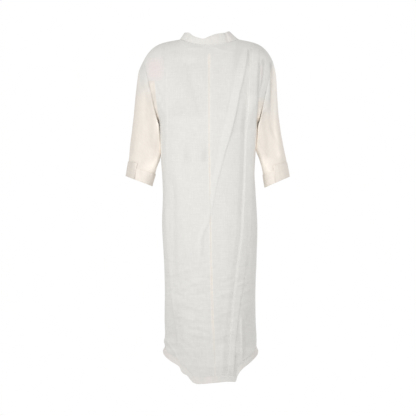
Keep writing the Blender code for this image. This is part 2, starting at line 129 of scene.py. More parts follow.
# Sleeves: rings from the armhole to the wrist, as outer and inner point, how far forward the ring
# lies and its half depth
Ring = namedtuple("Ring", "outer_x outer_z inner_x inner_z forward half_depth")
SLEEVE_RINGS = {
    LEFT: rows(Ring, [
        (234.5, -75, 182, -294, 0, 64), (250, -107, 180.5, -306, 4, 64), (258, -150, 178.8, -322, 13, 64),
        (265.5, -222, 176.2, -352, 24, 63), (274, -300, 173.8, -390, 33, 62),
        (283, -372, 177, -425, 39, 61), (288, -425, 188, -457, 43, 59), (294, -462, 196, -490, 45, 58),
        (298.5, -487, 205, -523, 46, 57),
    ]),
    RIGHT: rows(Ring, [
        (227.5, -75, 179, -294, 0, 64), (237, -107, 177.6, -306, 4, 64), (242.5, -150, 174.6, -322, 13, 64),
        (246, -222, 171.8, -352, 24, 63), (254, -300, 168.4, -390, 33, 62),
        (266, -372, 181.5, -425, 39, 61), (277, -425, 190.5, -459, 43, 59), (284, -462, 196, -495, 45, 58),
        (289, -489, 201, -528, 46, 57),
    ]),
}
SLEEVE_END = 7.93
SLEEVE_POWER = 2.35

# Where a sleeve lies flat against the body below the armhole its inner back is squarer: the power
# there, how far it leans to the body, and the rings over which that comes and goes
FLAT_POWER = 6.0
FLAT_LEAN = 0.0042
FLAT_FROM = (0.0, 1.2)
FLAT_TO = (5.0, 7.4)

# Cuffs: where the vent is at the back of the arm, as a share of the way round, the ring that the top
# edge reaches on the inner arm and at the vent's outer end, and the share over which it climbs
CUFF_VENT = {LEFT: 0.305, RIGHT: 5 / 22}
CUFF_OVERLAP = 1 / 22
CUFF_END = 8.0
CUFF_TOP = 6.65
CUFF_VENT_TOP = 6.15
CUFF_CLIMB = 12 / 22
CUFF_THICKNESS = 0.0015
CUFF_CLEARANCE = 0.0003
CUFF_DIP = 0.0002
# Painted light of each cuff, a painted shade over the vent's outer end, and painted light towards the inner
# arm up to a place across, fading over a width; the shade starts at a place across with a soft edge
CUFF_PAINTED_LIGHT = {LEFT: 0.04, RIGHT: 0.12}
CUFF_SHADE = {LEFT: -0.17, RIGHT: -0.13}
CUFF_INNER_PAINTED_LIGHT = 0.18
CUFF_INNER_TO = 0.224
CUFF_INNER_FADE = 0.022
CUFF_SHADE_FROM = {LEFT: 0.262, RIGHT: 0.234}
CUFF_SHADE_EDGE = 0.002

# Collar: height of its top edge and how far the edge leans in, by place round the neck from the left
# side (-1) over the centre back (0) to the right side (1) and the centre front (2)
CollarEdge = namedtuple("CollarEdge", "around height lean")
COLLAR_EDGE = rows(CollarEdge, [
    (-2, -60, 0.9), (-1.5, -22, 0.88), (-1, 23, 0.86), (-0.75, 25.5, 0.86), (-0.58, 23.5, 0.86),
    (-0.42, 12, 0.86), (-0.28, 5.5, 0.86), (-0.14, 2, 0.85), (0, 10, 0.8), (0.18, 18.5, 0.76),
    (0.5, 24, 0.73), (0.75, 29.5, 0.72), (1, 24, 0.72), (1.5, -22, 0.82), (2, -60, 0.9),
], plain="around lean")

# Pleats of the back: strips between a left and a right edge at heights, lifted by a base at the left edge
# and a slope from there, with crisp edges, and made lighter or darker by a tone of painted light on lit
# strips and painted shade in hollows. Each starts with its base, slope, edge and tone
PleatRow = namedtuple("PleatRow", "height left right")
Pleat = namedtuple("Pleat", "rows base slope edge tone")
PLEATS = [
    # The long pleat from the right shoulder to the centre seam
    new_pleat(0.3, 0.1, 6.5, 0.022,
        (-21, 125.3, 140.7), (-64, 111, 136), (-107, 99.5, 128.9), (-143, 90.6, 122.4), (-197, 78.8, 108.5),
        (-251, 68, 99.5), (-294, 57.3, 90.2), (-340, 46.5, 78.8), (-394, 35.8, 60.9), (-430, 28.6, 51.2),
        (-465, 20.8, 43), (-508, 10.7, 29.7), (-573, 1.1, 17.9), (-626, -8.9, 7.2), (-652, -17.9, 1.8),
        (-680, -31.1, -12.5), (-716, -39.4, -26.8), (-741, -40.8, -29.7), (-795, -35.8, -28.6)),
    # The pleat from the right shoulder to the hem
    new_pleat(4.4, -0.08, 4, 0.016,
        (-14, 145, 179.4), (-72, 143.2, 177.6), (-143, 141.1, 175.4), (-251, 136, 170.4),
        (-322, 130.7, 165), (-394, 127.1, 161.5), (-483, 125.3, 159.7), (-573, 121.7, 156.1),
        (-698, 114.6, 148.9), (-752, 107.4, 141.8), (-805, 100.2, 131.9), (-877, 93.1, 121.2),
        (-931, 85.9, 111.3), (-1002, 78.8, 102.4), (-1074, 71.6, 95.2), (-1146, 67.3, 90.9),
        (-1210, 63.7, 87.4)),
    # The sunken wedge between the two
    new_pleat(-0.3, -0.09, 3, -0.02,
        (-36, 139.1, 144.3), (-79, 133.7, 143), (-125, 125.7, 141.6), (-179, 113.1, 139.4),
        (-233, 102.5, 136.9), (-286, 91.8, 133.4), (-358, 72.8, 128.9)),
    # The hollow beside the long pleat
    new_pleat(-0.6, 0.08, 4, -0.01,
        (-197, 108.5, 117.8), (-286, 91.8, 101.1), (-394, 60.9, 70.2), (-483, 37.4, 46.7),
        (-573, 17.9, 27.2), (-630, 6.4, 15.7)),
    # The hollow beside the pleat to the hem
    new_pleat(0, -0.13, 5, -0.02,
        (-197, 119.9, 138.5), (-322, 112.1, 130.7), (-448, 107.4, 126), (-573, 103.1, 121.7),
        (-698, 95.9, 114.6), (-805, 81.6, 100.2), (-931, 67.3, 85.9), (-1074, 53, 71.6),
        (-1203, 45.5, 64.1)),
    # The shade left of the long pleat
    new_pleat(0, 0, 6, -0.018,
        (-7, 99.5, 132.5), (-72, 88.8, 111), (-125, 80.9, 95.2), (-197, 71.6, 79.5), (-294, 50.8, 58.7)),
    # The sharp fold at the left
    new_pleat(2.1, -0.17, 3, 0.012,
        (-594, -156.8, -145.3), (-698, -153.2, -141.8), (-759, -148.2, -136.8), (-816, -143.2, -131.7),
        (-877, -138.2, -126.7), (-931, -132.5, -121.7), (-1002, -121.7, -111), (-1110, -108.1, -98.8)),
]
PLEAT_FADE = 0.035

# Folds and creases of the body: crests (rise above 0) and troughs, from a start to an end in the view
# from behind, bowed sideways by a bend, with the width of the slope on each hand
Fold = namedtuple("Fold", "start_x start_z end_x end_z bend left_slope right_slope rise")
FOLDS = {
    BACK: rows(Fold, [
        # The pleats of the back
        (181, -60, 172, -320, -2, 4, 5, -3.6), (196, -62, 181.5, -195, 3, 3.5, 4, -2.6),
        (188, -70, 179.5, -180, 1, 3, 3, 1.6), (151, -30, 149.5, -90, 0, 2.8, 2.8, -2.2),
        (140, -30, 142, -100, 0, 3, 3, -2), (-150, -50, -154, -720, 0, 6, 7, 1.6),
        (-130, -480, -124, -860, 0, 10, 10, -3.5), (-80, -60, -12, -300, -6, 14, 18, -4),
        (-60, -930, -30, -1190, 6, 20, 20, -3),
        # Short folds under the collar and beside the shoulders
        (18, -30, 96, -46, -4, 4, 5, 1.3), (-82, -36, -20, -34, 3, 4, 5, 1),
        (-163, -18, -164, -70, 0, 4, 5, -2), (-120, -12, -121, -50, 0, 5, 5, -1.2),
        (-36, -165, -12, -240, 2, 6, 8, -1.8), (-200, -150, -172, -235, 3, 6, 8, -2.2),
        (-192, -190, -150, -300, 4, 7, 9, 2), (172, -230, 150, -330, -4, 7, 8, -2.2),
        (186, -250, 160, -380, -3, 8, 7, 2.2),
        # Soft hollows at the waist
        (-84, -370, -80, -455, 0, 14, 14, -1), (-19, -370, -16, -450, 0, 14, 14, -0.9),
        (150, -385, 149, -455, 0, 10, 10, -1.2),
        # Slanting creases from the seat to the side seams
        (-104, -895, -4, -852, 4, 6, 8, 1.8), (-97, -941, -14, -963, -3, 6, 7, 1.6),
        (-142, -846, -60, -818, 4, 7, 6, 1.4), (-150, -905, -100, -868, -3, 6, 6, -1.6),
        (-128, -985, -50, -1002, 4, 7, 6, 1.5), (-70, -914, -10, -902, -2, 5, 6, -1.2),
        (-75, -1032, 6, -1048, 4, 7, 7, -1.4), (-40, -822, 30, -806, 3, 6, 7, 1.2),
        (22, -920, 86, -899, 3, 6, 6, 1.6), (97, -877, 142, -862, 2, 5, 6, 1.6),
        (104, -913, 147, -891, 2, 5, 6, 1.7), (34, -868, 90, -850, -3, 6, 6, -1.3),
        (15, -990, 80, -968, 4, 7, 6, 1.4), (28, -1062, 84, -1040, -3, 6, 6, 1.2),
        (112, -952, 152, -936, 2, 5, 5, -1.4), (115, -985, 116.5, -1140, 0, 4.5, 5, 3),
        (96, -1120, 99, -1210, 0, 6, 8, -3), (-112, -1070, -52, -1150, 4, 6, 7, 1.3),
        (-90, -1060, -30, -1140, 5, 7, 7, 1.1), (-4, -1010, 4, -1100, 0, 5, 6, -1.2),
        # Long shallow drapes
        (-58, -300, -70, -560, 6, 14, 18, 1.6), (-100, -560, -62, -830, -6, 14, 16, 1.5),
        (52, -640, 58, -880, 4, 12, 16, 1.6), (-6, -900, 0, -1200, -4, 14, 12, 1.8),
        (-90, -1020, -86, -1150, 3, 10, 10, 1.8), (48, -1030, 52, -1210, -3, 10, 10, 2),
        (140, -560, 136, -840, 4, 8, 10, -2.2),
    ]),
    # The front hangs in the same way
    FRONT: rows(Fold, [
        (-120, -100, -30, -700, 8, 12, 18, 7), (135, -80, 120, -1080, 8, 12, 12, 6.5),
        (70, -200, 62, -900, -6, 14, 12, -4), (-135, -350, -118, -1090, -8, 12, 12, 6.5),
        (-60, -620, -55, -1120, 6, 14, 14, -3.5), (-132, -110, -42, -690, 8, 8, 4, -2),
        (195, -100, 165, -300, 5, 8, 8, -2.4), (-196, -120, -160, -310, -5, 8, 8, -2.4),
        (30, -140, 10, -330, -4, 9, 10, -1.8), (-30, -130, -14, -280, 4, 8, 10, -1.4),
        (-50, -370, -46, -450, 0, 14, 14, -1), (40, -375, 42, -460, 0, 13, 13, -1),
        (-110, -880, -30, -845, -4, 6, 7, 1.6), (-98, -930, -20, -944, 4, 6, 6, 1.5),
        (10, -860, 80, -884, 3, 6, 7, 1.5), (30, -925, 110, -905, -3, 6, 6, -1.4),
        (20, -985, 92, -1010, 4, 6, 7, 1.4), (-80, -995, -10, -975, 3, 6, 6, 1.3),
        (118, -870, 152, -845, 2, 5, 6, 1.5), (-150, -900, -112, -928, 2, 5, 6, -1.5),
        (4, -480, 16, -820, 6, 14, 18, 1.6), (30, -900, 34, -1140, -4, 12, 14, 1.8),
        (-16, -1010, -12, -1150, 3, 10, 10, 1.6),
    ]),
}
FOLD_FADE = 0.12
SIDE_FADE = 0.030
SEAM_FADE = 0.014

# Soft creases of the sleeves, as crests in ring and share of the way round
SleeveFold = namedtuple("SleeveFold", "start_around start_ring end_around end_ring width rise")
SLEEVE_FOLDS = {
    LEFT: rows(SleeveFold, [
        (0.16, 1.2, 0.34, 5.6, 0.045, 4.5), (0.08, 2.6, 0.14, 6, 0.04, -3.5),
        (0.7, 1.5, 0.8, 5.8, 0.05, 4.5), (0.3, 0.6, 0.27, 3.6, 0.022, -2.2),
        (0.38, 2.6, 0.44, 6.6, 0.028, -2), (0.2, 4.6, 0.32, 7, 0.022, 1.8),
        (0.12, 0.7, 0.2, 2.8, 0.02, -1.8), (0.62, 0.8, 0.66, 4.8, 0.026, -2.2),
        (0.86, 2, 0.9, 5.6, 0.03, 1.6),
    ], plain="start_around start_ring end_around end_ring width"),
    RIGHT: rows(SleeveFold, [
        (0.2, 1, 0.3, 5.5, 0.045, 5), (0.1, 2.2, 0.16, 5.8, 0.04, -4), (0.72, 1.6, 0.78, 6, 0.05, 4.5),
        (0.345, 0.05, 0.288, 3.3, 0.014, -4), (0.24, 2.6, 0.38, 5.2, 0.02, -2),
        (0.4, 4.2, 0.46, 6.8, 0.024, 2.4), (0.14, 0.6, 0.24, 2.4, 0.02, 1.6),
        (0.64, 0.9, 0.6, 5, 0.026, -2.2), (0.88, 2.2, 0.84, 5.8, 0.03, 1.6),
    ], plain="start_around start_ring end_around end_ring width"),
}

# Creases of the collar, as crests by place round the neck at its base and at its top edge
CollarFold = namedtuple("CollarFold", "base top width rise")
COLLAR_FOLDS = rows(CollarFold, [
    (0.44, 0.52, 0.03, -2.4), (0.6, 0.58, 0.04, 1), (-0.2, -0.3, 0.05, 1.2), (-0.62, -0.54, 0.04, -1.2),
    (0.12, 0.04, 0.04, -1), (1.3, 1.36, 0.06, 1.2), (-1.42, -1.36, 0.05, -1.2), (1.72, 1.66, 0.05, -1),
], plain="base top width")

# Soft spots of painted shade on the back, at the hollows of the waist, beside the left armhole and at the
# right shoulder, as a place, its reach each way and its depth of tone
ShadeSpot = namedtuple("ShadeSpot", "x z across up tone")
SHADE_SPOTS = rows(ShadeSpot, [
    (-82, -414, 8, 20, 0.06), (-17, -416, 7, 18, 0.075), (-207, -151, 9, 4, 0.09), (150, -419, 6, 18, 0.03),
    (86, -412, 10, 20, 0.01), (165, -36, 45, 14, 0.03),
], plain="tone")

# Painted shade and painted light of the back, sleeves and collar that follow their folds, creases and
# hollows in the view from behind, darker or lighter. Each starts with its width and tone, and its path is
# of heights and places across
Shade = namedtuple("Shade", "path width tone")
SHADES = [
    # Painted shade along the creases of the left armhole, and painted light below them
    new_shade(3.6, -0.17, (-143, -217.3), (-165, -214.1), (-190, -206)),
    new_shade(3.6, -0.08, (-175, -211), (-208, -200.5), (-243, -192.6)),
    new_shade(4, 0.06, (-225, -196), (-250, -190), (-285, -183.5)),
    # Painted light in the shaded hollows between the sleeves and the body and along the body's right side,
    # and a painted shade line at the left armhole
    new_shade(4.2, 0.34,
        (-262, -187), (-276, -184.6), (-308, -180.8), (-344, -177.2), (-380, -174.5), (-430, -173)),
    new_shade(4.2, 0.34,
        (-262, 180), (-276, 177.5), (-308, 175.2), (-344, 172.8), (-380, 170.5), (-430, 170)),
    new_shade(6, 0.16, (-236, 182.5), (-272, 181), (-306, 178.5)),
    new_shade(16, 0.055, (-190, 160), (-420, 154), (-500, 152)),
    new_shade(3.2, -0.07, (-150, -200.5), (-186, -194.8), (-229, -191.2)),
    # Painted shade along the crease of the right sleeve and painted light on the fold beside it
    new_shade(4.4, -0.17, (-72, 216.9), (-115, 222.7), (-175, 220)),
    new_shade(4.4, -0.08, (-150, 222.7), (-197, 218.4), (-233, 213.4), (-261, 209.8)),
    new_shade(9, 0.18, (-79, 234.8), (-215, 234.5), (-286, 234.5), (-344, 240), (-380, 244), (-430, 252)),
    new_shade(11, -0.09, (-245, 195), (-300, 197.5), (-344, 201), (-380, 204.5), (-430, 209)),
    # Painted shade along the creases beside the right armhole
    new_shade(3.4, -0.1,
        (-64, 191.5), (-107, 180.4), (-161, 177.6), (-215, 174.7), (-286, 172.6), (-401, 171.8)),
    new_shade(3.2, -0.08, (-64, 195.5), (-115, 194.8), (-172, 184.7)),
    # Painted shade on the left sleeve, light in its middle and darker on its outer side
    new_shade(10, -0.09, (-180, -208), (-240, -206), (-320, -204), (-400, -204)),
    new_shade(10, -0.06, (-80, -238), (-150, -233), (-190, -231)),
    new_shade(8, -0.06, (-150, -257.8), (-286, -269.9), (-422, -277.8)),
    new_shade(5, -0.03, (-158, -222), (-229, -217.7), (-301, -220.5)),
    # Painted shade and light along folds at the left of the back
    new_shade(3.6, -0.035, (-7, -161.1), (-107, -160)),
    new_shade(3.4, 0.018, (-64, -148.2), (-430, -148.2)),
    new_shade(2.6, -0.01, (-143, -142.5), (-430, -141.8)),
    # Painted light and shade of the turned corner of the hem at the left
    new_shade(3.4, 0.055, (-1058, -157), (-1072, -150), (-1092, -134), (-1115, -117), (-1150, -104)),
    new_shade(4, -0.045, (-1062, -161), (-1085, -148), (-1115, -126), (-1145, -112)),
    # Painted light and shade of the fold above the hem at the right
    new_shade(4.6, 0.035, (-981, 114.6), (-1031, 113.1), (-1088, 118.1), (-1146, 116)),
    new_shade(6, -0.035, (-1031, 105.3), (-1088, 106.7), (-1196, 98.8)),
    new_shade(3, -0.035, (-1024, 127.4), (-1088, 128.2), (-1146, 121.7)),
    # Painted shade over the yoke, and painted light on the edge above it
    new_shade(70, -0.042, (-75, -90), (-290, -85)),
    new_shade(45, -0.026, (-85, 35), (-270, 35)),
    new_shade(120, 0.035, (20, -60), (-55, -60)),
    new_shade(50, 0.04, (20, 110), (-55, 110)),
    # Painted light between the pleats and beside the right side seam
    new_shade(12, 0.045, (-200, 125), (-270, 112), (-360, 96)),
    new_shade(11, 0.058, (-190, 144), (-640, 140)),
    new_shade(11, 0.03, (-620, 140), (-800, 140)),
    # Painted light and shade of the tail of the long pleat
    new_shade(3.6, 0.022,
        (-612, -12.5), (-652, -17.9), (-680, -30.4), (-709, -37.6), (-738, -39.4), (-780, -35.8)),
    new_shade(5, -0.04, (-612, 7), (-652, 0), (-680, -14.3), (-709, -21.5), (-738, -20.5), (-780, -24)),
    # Painted shade at the sides above the hem
    new_shade(30, -0.05, (-930, -118), (-1000, -116), (-1140, -112)),
    new_shade(3.6, -0.03, (-925, -126.5), (-949, -121.7), (-1002, -116.3), (-1060, -110.5)),
    new_shade(20, -0.055, (-940, 134), (-1020, 130), (-1150, 118)),
    new_shade(50, -0.032, (-1030, -50), (-1165, -50)),
    new_shade(26, -0.026, (-960, 42), (-1100, 42)),
    # Painted shade of the fold of the collar
    new_shade(3, -0.08, (43, 52.3), (7, 53)),
]
SHADE_FADE = 0.022

# Faint blush of the back, at the left shoulder and along the right armhole: its place, its reach each
# way, how flat it is in the middle, and its strength
Blush = namedtuple("Blush", "x z across up power strength")
BLUSHES = [Blush(-0.192, -0.108, 0.029, 0.038, 4, 1.0), Blush(0.187, -0.120, 0.003, 0.030, 2, 0.8)]

# Seeded unevenness of the cloth: size of its cells across and along the cloth, and its height
Rumple = namedtuple("Rumple", "across along height seed")
RUMPLES = [Rumple(0.040, 0.055, 0.00045, 11), Rumple(0.017, 0.022, 0.00022, 12)]
LOWER_RUMPLE = Rumple(0.046, 0.015, 0.00095, 13)
LOWER_RUMPLE_SPAN = (-1.12, -0.76)
PUCKER = Rumple(0.010, 0.007, 0.00035, 14)
PUCKER_REACH = 0.007
PUCKER_START = 0.003
ALLOWANCE_PATCHES = Rumple(0.009, 0.006, 1.0, 15)
TRIM_RUMPLE = Rumple(0.017, 0.022, 0.0007, 12)
BAND_PATCHES = Rumple(0.024, 0.060, 1.0, 18)
CUFF_STREAKS = Rumple(0.012, 0.060, 0.03, 16)
FINE_RUMPLE = Rumple(0.034, 0.0075, 0.00045, 17)
RUMPLE_CELLS = 64

# Edges of the cloth at a seam: how far aside of the seam each point of the roll is, and how far in
ROLL = ((0.0007, 0.0), (0.0003, 0.00014), (0.0001, 0.0006), (0.0001, 0.0035))
FLAT_ROLL = ((0.0003, 0.0), (0.00015, 0.00005), (0.0001, 0.0004), (0.0001, 0.0035))
SIDES = ("bottom", "top", "left", "right")

# Fineness of the sheets, and how the form is evened out at the underarm's height and at the neck
SMOOTH_ROWS = 26
SMOOTH_ROUNDS = 200
SMOOTH_TURN = 0.10
SMOOTH_TOP = 16
BODY_STEP = 0.0030
FRONT_STEP = 0.0041
SLEEVE_STEP = 0.0034
TRIM_STEP = 0.0022

# Lengths of cloth that the steps divide, the rows of the narrow pieces, the share of a row or column by
# which their edges are drawn in, and the rows between which an armhole is stitched
NECK_RUN = 0.135
SHOULDER_RUN = 0.150
LOWER_RUN = 0.85
YOKE_RUN = 0.33
SLEEVE_ROUND = 0.36
SLEEVE_RUN = 0.40
SLEEVE_DEPTH = 0.06
COLLAR_ROUND = 0.44
COLLAR_HEIGHT = 0.03
COLLAR_ENDS = 0.1
CUFF_ROUND = 0.33
CUFF_HEIGHT = 0.05
TRIM_START = 0.3
COLLAR_ROWS = 14
CUFF_ROWS = 20
BAND_ROWS = 12
SEAM_PULL = 0.08
SIDE_PULL = 0.05
ARMHOLE_STITCHES = (6, -4)

# Where a sleeve's tone turns to cream: over which heights, and from where on its outer side, how much and
# how softly, and where that starts below the shoulder. The inner side is painted lighter where it lies in
# shade, lower down more so, and each sleeve has a painted light of its own, the right one lighter
CREAM_SPAN = {LEFT: (-0.24, -0.11), RIGHT: (-0.31, -0.17)}
CREAM_OUTER = {LEFT: 0.2455, RIGHT: 0.215}
CREAM_OUTER_SHARE = 0.7
CREAM_OUTER_EDGE = 0.006
CREAM_OUTER_START = (-0.07, 0.05)
SLEEVE_PAINTED_LIGHT = {LEFT: -0.005, RIGHT: 0.03}
INNER_PAINTED_LIGHT = (0.12, 0.42)
INNER_SPAN = (-0.45, -0.41)
INNER_START = (-0.10, 0.20)

# Cream tone of the back beside the armholes, from a line of (height, x) out
CREAM_SIDE = {
    LEFT: [(-0.146, -0.1935), (-0.172, -0.1915), (-0.198, -0.1895), (-0.240, -0.1845), (-0.290, -0.1785),
           (-0.344, -0.1755), (-0.380, -0.1730), (-0.430, -0.1705)],
    RIGHT: [(-0.200, 0.1760), (-0.243, 0.1735), (-0.290, 0.1700), (-0.344, 0.1660), (-0.430, 0.1620)],
}
CREAM_SIDE_FADE = {LEFT: 0.006, RIGHT: 0.030}
CREAM_SIDE_END = 0.03
CREAM_SIDE_EDGE = 0.005

# The back's seam allowance shows through the cloth: its width, soft edge and tone, how uneven it is,
# how faint above the hem, the height and length over which it grows and those where it ends at the
# collar, how much the long pleat covers it, and its creamy middle
ALLOWANCE_WIDTH = 0.0050
ALLOWANCE_EDGE = 0.0024
ALLOWANCE_TONE = 0.055
ALLOWANCE_UNEVEN = 0.25
ALLOWANCE_FAINT = 0.35
ALLOWANCE_GROWTH = (-1.16, 0.22)
ALLOWANCE_END = (-0.045, 0.02)
ALLOWANCE_COVER = 0.85
CREAM_LINE = 0.0040
CREAM_LINE_EDGE = 0.0014

# The front's hem shows through the back: the tones below it and along it, and how soft they are
SEEN_HEM_TONE = 0.045
SEEN_HEM_EDGE = 0.005
SEEN_LINE_TONE = 0.035
SEEN_LINE_BELOW = 0.002
SEEN_LINE_WIDTH = 0.0024
SEEN_HALF_WIDTH = 0.165

# Soft lights, with the share of the key light's power that each gives
Light = namedtuple("Light", "name place aim size share")
LIGHTS = [
    Light("key_light", (-1.15, -1.5, -0.25), (0.0, 0.0, -0.40), 0.9, 1.0),
    Light("fill_light", (1.15, -1.5, -0.25), (0.0, 0.0, -0.40), 0.9, 0.60),
    Light("front_light", (1.6, 4.2, 0.2), (0.0, 0.0, -0.6), 2.4, 3.2),
]

# The photo's frame: its pixels, what one covers at the dress, and where the camera looks
PHOTO_PIXELS = 416
PIXEL = 0.00358
VIEW_CENTRE = (-0.0036, -0.6014)
SENSOR = 36

# Flat cuts: width, length and area of the cloth with its seam allowances, and what it hangs from
Cut = namedtuple("Cut", "width length area hangs_from")

# Patterns of the linen, as cells per metre across and along, and its relief, as depth and strength
CLOUD_CELLS = (22, 16)
FLECK_CELLS = (230, 45)
WARP_CELLS = (420, 14)
WEFT_CELLS = (12, 380)
CRINKLE_CELLS = (70, 60)
WEAVE_RELIEF = (0.00012, 0.35)
SLUB_RELIEF = (0.0005, 0.35)
CRINKLE_RELIEF = (0.0016, 0.30)

# What each kind of piece is of: its slot, cloth and colour, and whether it has two layers
Kind = namedtuple("Kind", "slot cloth colour doubled")
KINDS = {
    "back": Kind("linen_body", "body_cloth", "body", False),
    "front": Kind("linen_body", "body_cloth", "body", False),
    "sleeve": Kind("linen_sleeve", "sleeve_cloth", "body", False),
    "cuff": Kind("linen_sleeve", "sleeve_cloth", "body", True),
    "collar": Kind("linen_band", "band_cloth", "band", True),
    "hem": Kind("linen_band", "band_cloth", "band", True),
}
EDGE_ROUNDING = 0.42

STITCH_FLATNESS = 0.8

stitch_lines = []


def curve(knots, values, at):
    """A smooth curve through the table's points, read at many places."""
    knots = np.asarray(knots, float)
    values = np.asarray(values, float)
    at = np.clip(at, knots[0], knots[-1])
    i = np.clip(np.searchsorted(knots, at) - 1, 0, len(knots) - 2)
    chords = np.diff(values) / np.diff(knots)
    slopes = np.concatenate([chords[:1], (chords[:-1] + chords[1:]) / 2, chords[-1:]])
    step = knots[i + 1] - knots[i]
    t = (at - knots[i]) / step
    start = values[i] * (1 + 2 * t) * (1 - t) ** 2 + slopes[i] * step * t * (1 - t) ** 2
    end = values[i + 1] * (3 - 2 * t) * t * t + slopes[i + 1] * step * t * t * (t - 1)
    return start + end


def column(table, field):
    return [getattr(row, field) for row in table]


def ease(t):
    t = np.clip(t, 0.0, 1.0)
    return t * t * (3 - 2 * t)


def bell(t):
    return np.exp(-(t**2))


def unit(vectors):
    return vectors / np.maximum(np.linalg.norm(vectors, axis=-1, keepdims=True), 1e-12)


def joined(x, y, z):
    return np.stack(np.broadcast_arrays(x, y, z), axis=-1)


def net(rows_up, columns, run=(0, 1), up=(0, 1)):
    """Two grids of places: one that changes across the cloth and one that changes up it."""
    return np.meshgrid(np.linspace(*run, columns + 1), np.linspace(*up, rows_up + 1))


def both_halves(face, half):
    """A whole face from its halves, which each run from the centre line out."""
    points = np.concatenate([half(LEFT)[:, ::-1], half(RIGHT)[:, 1:]], axis=1)
    return points[:, ::-1] if face == FRONT else points


def section(field, z):
    return curve(column(SECTIONS, "height"), column(SECTIONS, field), z)


def face_field(face):
    return "back" if face == BACK else "front"


def body_point(face, hand, u, z):
    """The body below the underarm: u runs from the centre line to the side seam."""
    half = section("left" if hand == LEFT else "right", z)
    depth = section(face_field(face), z)
    middle = section("seam", z) if face == BACK else 0.0
    power = 2 / section("power", z)
    angle = u * math.pi / 2
    x = middle + (hand * half - middle) * np.sin(angle) ** power
    y = face * depth * np.maximum(np.cos(angle), 0.0) ** power
    return joined(x, y, z)


def hem_height(face, hand, u):
    share = hand * np.sin(u * math.pi / 2)
    return np.interp(share, column(HEM_LINE[face], "across"), column(HEM_LINE[face], "height"))


def neck_ring(place):
    """The neckline, by place round the neck as in the collar's table."""
    left = place < 0
    back = np.abs(place) <= 1
    angle = np.where(back, np.abs(place), 2 - np.abs(place)) * math.pi / 2
    x = np.where(left, -NECK_HALF_WIDTH[LEFT], NECK_HALF_WIDTH[RIGHT]) * np.sin(angle)
    y = np.where(back, -NECK_DEPTH[BACK], NECK_DEPTH[FRONT]) * np.cos(angle)
    low = np.where(back, NECK_LOW[BACK], NECK_LOW[FRONT])
    return joined(x, y, low + (NECK_SIDE_HEIGHT - low) * np.sin(angle) ** 2)


def neck_place(face, hand, turn):
    """The place round the neck of a turn from the centre line (0) to the shoulder seam (1)."""
    return hand * turn if face == BACK else hand * (2 - turn)


def shoulder_point(hand, f):
    """The shoulder seam: f runs from the collar (0) to the armhole (1)."""
    tip_x, tip_z = SHOULDER_TIP[hand]
    f = np.maximum(f, 0)
    fall = SHOULDER_EVEN_SHARE * f + (1 - SHOULDER_EVEN_SHARE) * f**SHOULDER_ROUND_POWER
    x = hand * (NECK_HALF_WIDTH[hand] + (tip_x - NECK_HALF_WIDTH[hand]) * f)
    return joined(x, 0.0, NECK_SIDE_HEIGHT + (tip_z - NECK_SIDE_HEIGHT) * fall)


def sleeve_point(hand, k, around):
    """A sleeve ring at k: around runs from the inner arm (0) over the back to the outer arm (0.5)."""
    def value(field):
        rings = SLEEVE_RINGS[hand]
        return curve(range(len(rings)), column(rings, field), k)

    angle = around * 2 * math.pi
    share = (1 - np.cos(angle)) / 2
    comes = ease((k - FLAT_FROM[0]) / (FLAT_FROM[1] - FLAT_FROM[0]))
    goes = ease((FLAT_TO[1] - k) / (FLAT_TO[1] - FLAT_TO[0]))
    flat = comes * goes * (np.cos(angle) > 0) * (np.sin(angle) > 0)
    power = SLEEVE_POWER + (FLAT_POWER - SLEEVE_POWER) * flat
    depth = np.sign(np.sin(angle)) * (1 - np.abs(np.cos(angle)) ** power) ** (1 / power)
    x = value("inner_x") + (value("outer_x") - value("inner_x")) * share
    x = x - FLAT_LEAN * flat * depth * np.cos(angle) ** 8
    z = value("inner_z") + (value("outer_z") - value("inner_z")) * share
    return joined(hand * x, value("forward") - value("half_depth") * depth, z)


def sleeve_normal(hand, k, around, probe=0.001):
    """Outward from the sleeve's smooth surface."""
    along = sleeve_point(hand, k - probe, around) - sleeve_point(hand, k + probe, around)
    across = sleeve_point(hand, k, around + probe) - sleeve_point(hand, k, around - probe)
    at_end = np.asarray(k)[..., None] <= 0
    along = np.where(at_end, sleeve_point(hand, 0.0, around) - sleeve_point(hand, probe, around), along)
    return unit(hand * np.cross(across, along))


def armhole_place(face, w):
    """The share of the way round the sleeve of w, from the underarm (0) to the shoulder tip (1)."""
    return w / 2 if face == BACK else 1 - w / 2


def top_point(face, hand, u):
    neck = neck_ring(neck_place(face, hand, np.minimum(u / NECK_SHARE, 1)))
    shoulder = shoulder_point(hand, (u - NECK_SHARE) / (1 - NECK_SHARE))
    return np.where((u <= NECK_SHARE)[..., None], neck, shoulder)


def yoke_point(face, hand, u, w):
    """The body above the underarm, between the centre line, the armhole, the neck and the shoulder."""
    u, w = np.broadcast_arrays(u, w)
    turn = w * math.pi / 2

    def span(place):
        """A quarter arch from the underarm's height to the top edge, upright first and level last."""
        low = body_point(face, hand, place, np.full(place.shape, UNDERARM))
        high = top_point(face, hand, place)
        steps = np.stack([w, 1 - np.cos(turn), np.sin(turn)], axis=-1)
        return low + (high - low) * steps

    z = UNDERARM + (NECK_LOW[face] - UNDERARM) * w
    depth = curve(column(CENTRE_DEPTHS, "height"), column(CENTRE_DEPTHS, face_field(face)), z)
    centre = joined(0.0, face * depth, z) - span(np.zeros(u.shape))
    edge = sleeve_point(hand, 0.0, armhole_place(face, w)) - span(np.ones(u.shape))
    return span(u) + (1 - u)[..., None] * centre + u[..., None] * edge


def collar_point(place, share):
    """The stand collar's outer side: share runs from the neckline (0) to the top edge (1)."""
    base = neck_ring(place)
    around = column(COLLAR_EDGE, "around")
    top = curve(around, column(COLLAR_EDGE, "height"), place)
    lean = curve(around, column(COLLAR_EDGE, "lean"), place)
    crown = joined(base[..., 0] * lean, base[..., 1] * (1 + lean) / 2, top)
    share = np.asarray(share)[..., None]
    return base * (1 - share) + crown * share


def collar_normal(place, probe=0.01):
    across = neck_ring(place + probe) - neck_ring(place - probe)
    up = collar_point(place, 1.0) - collar_point(place, 0.0)
    return unit(np.cross(across, up))


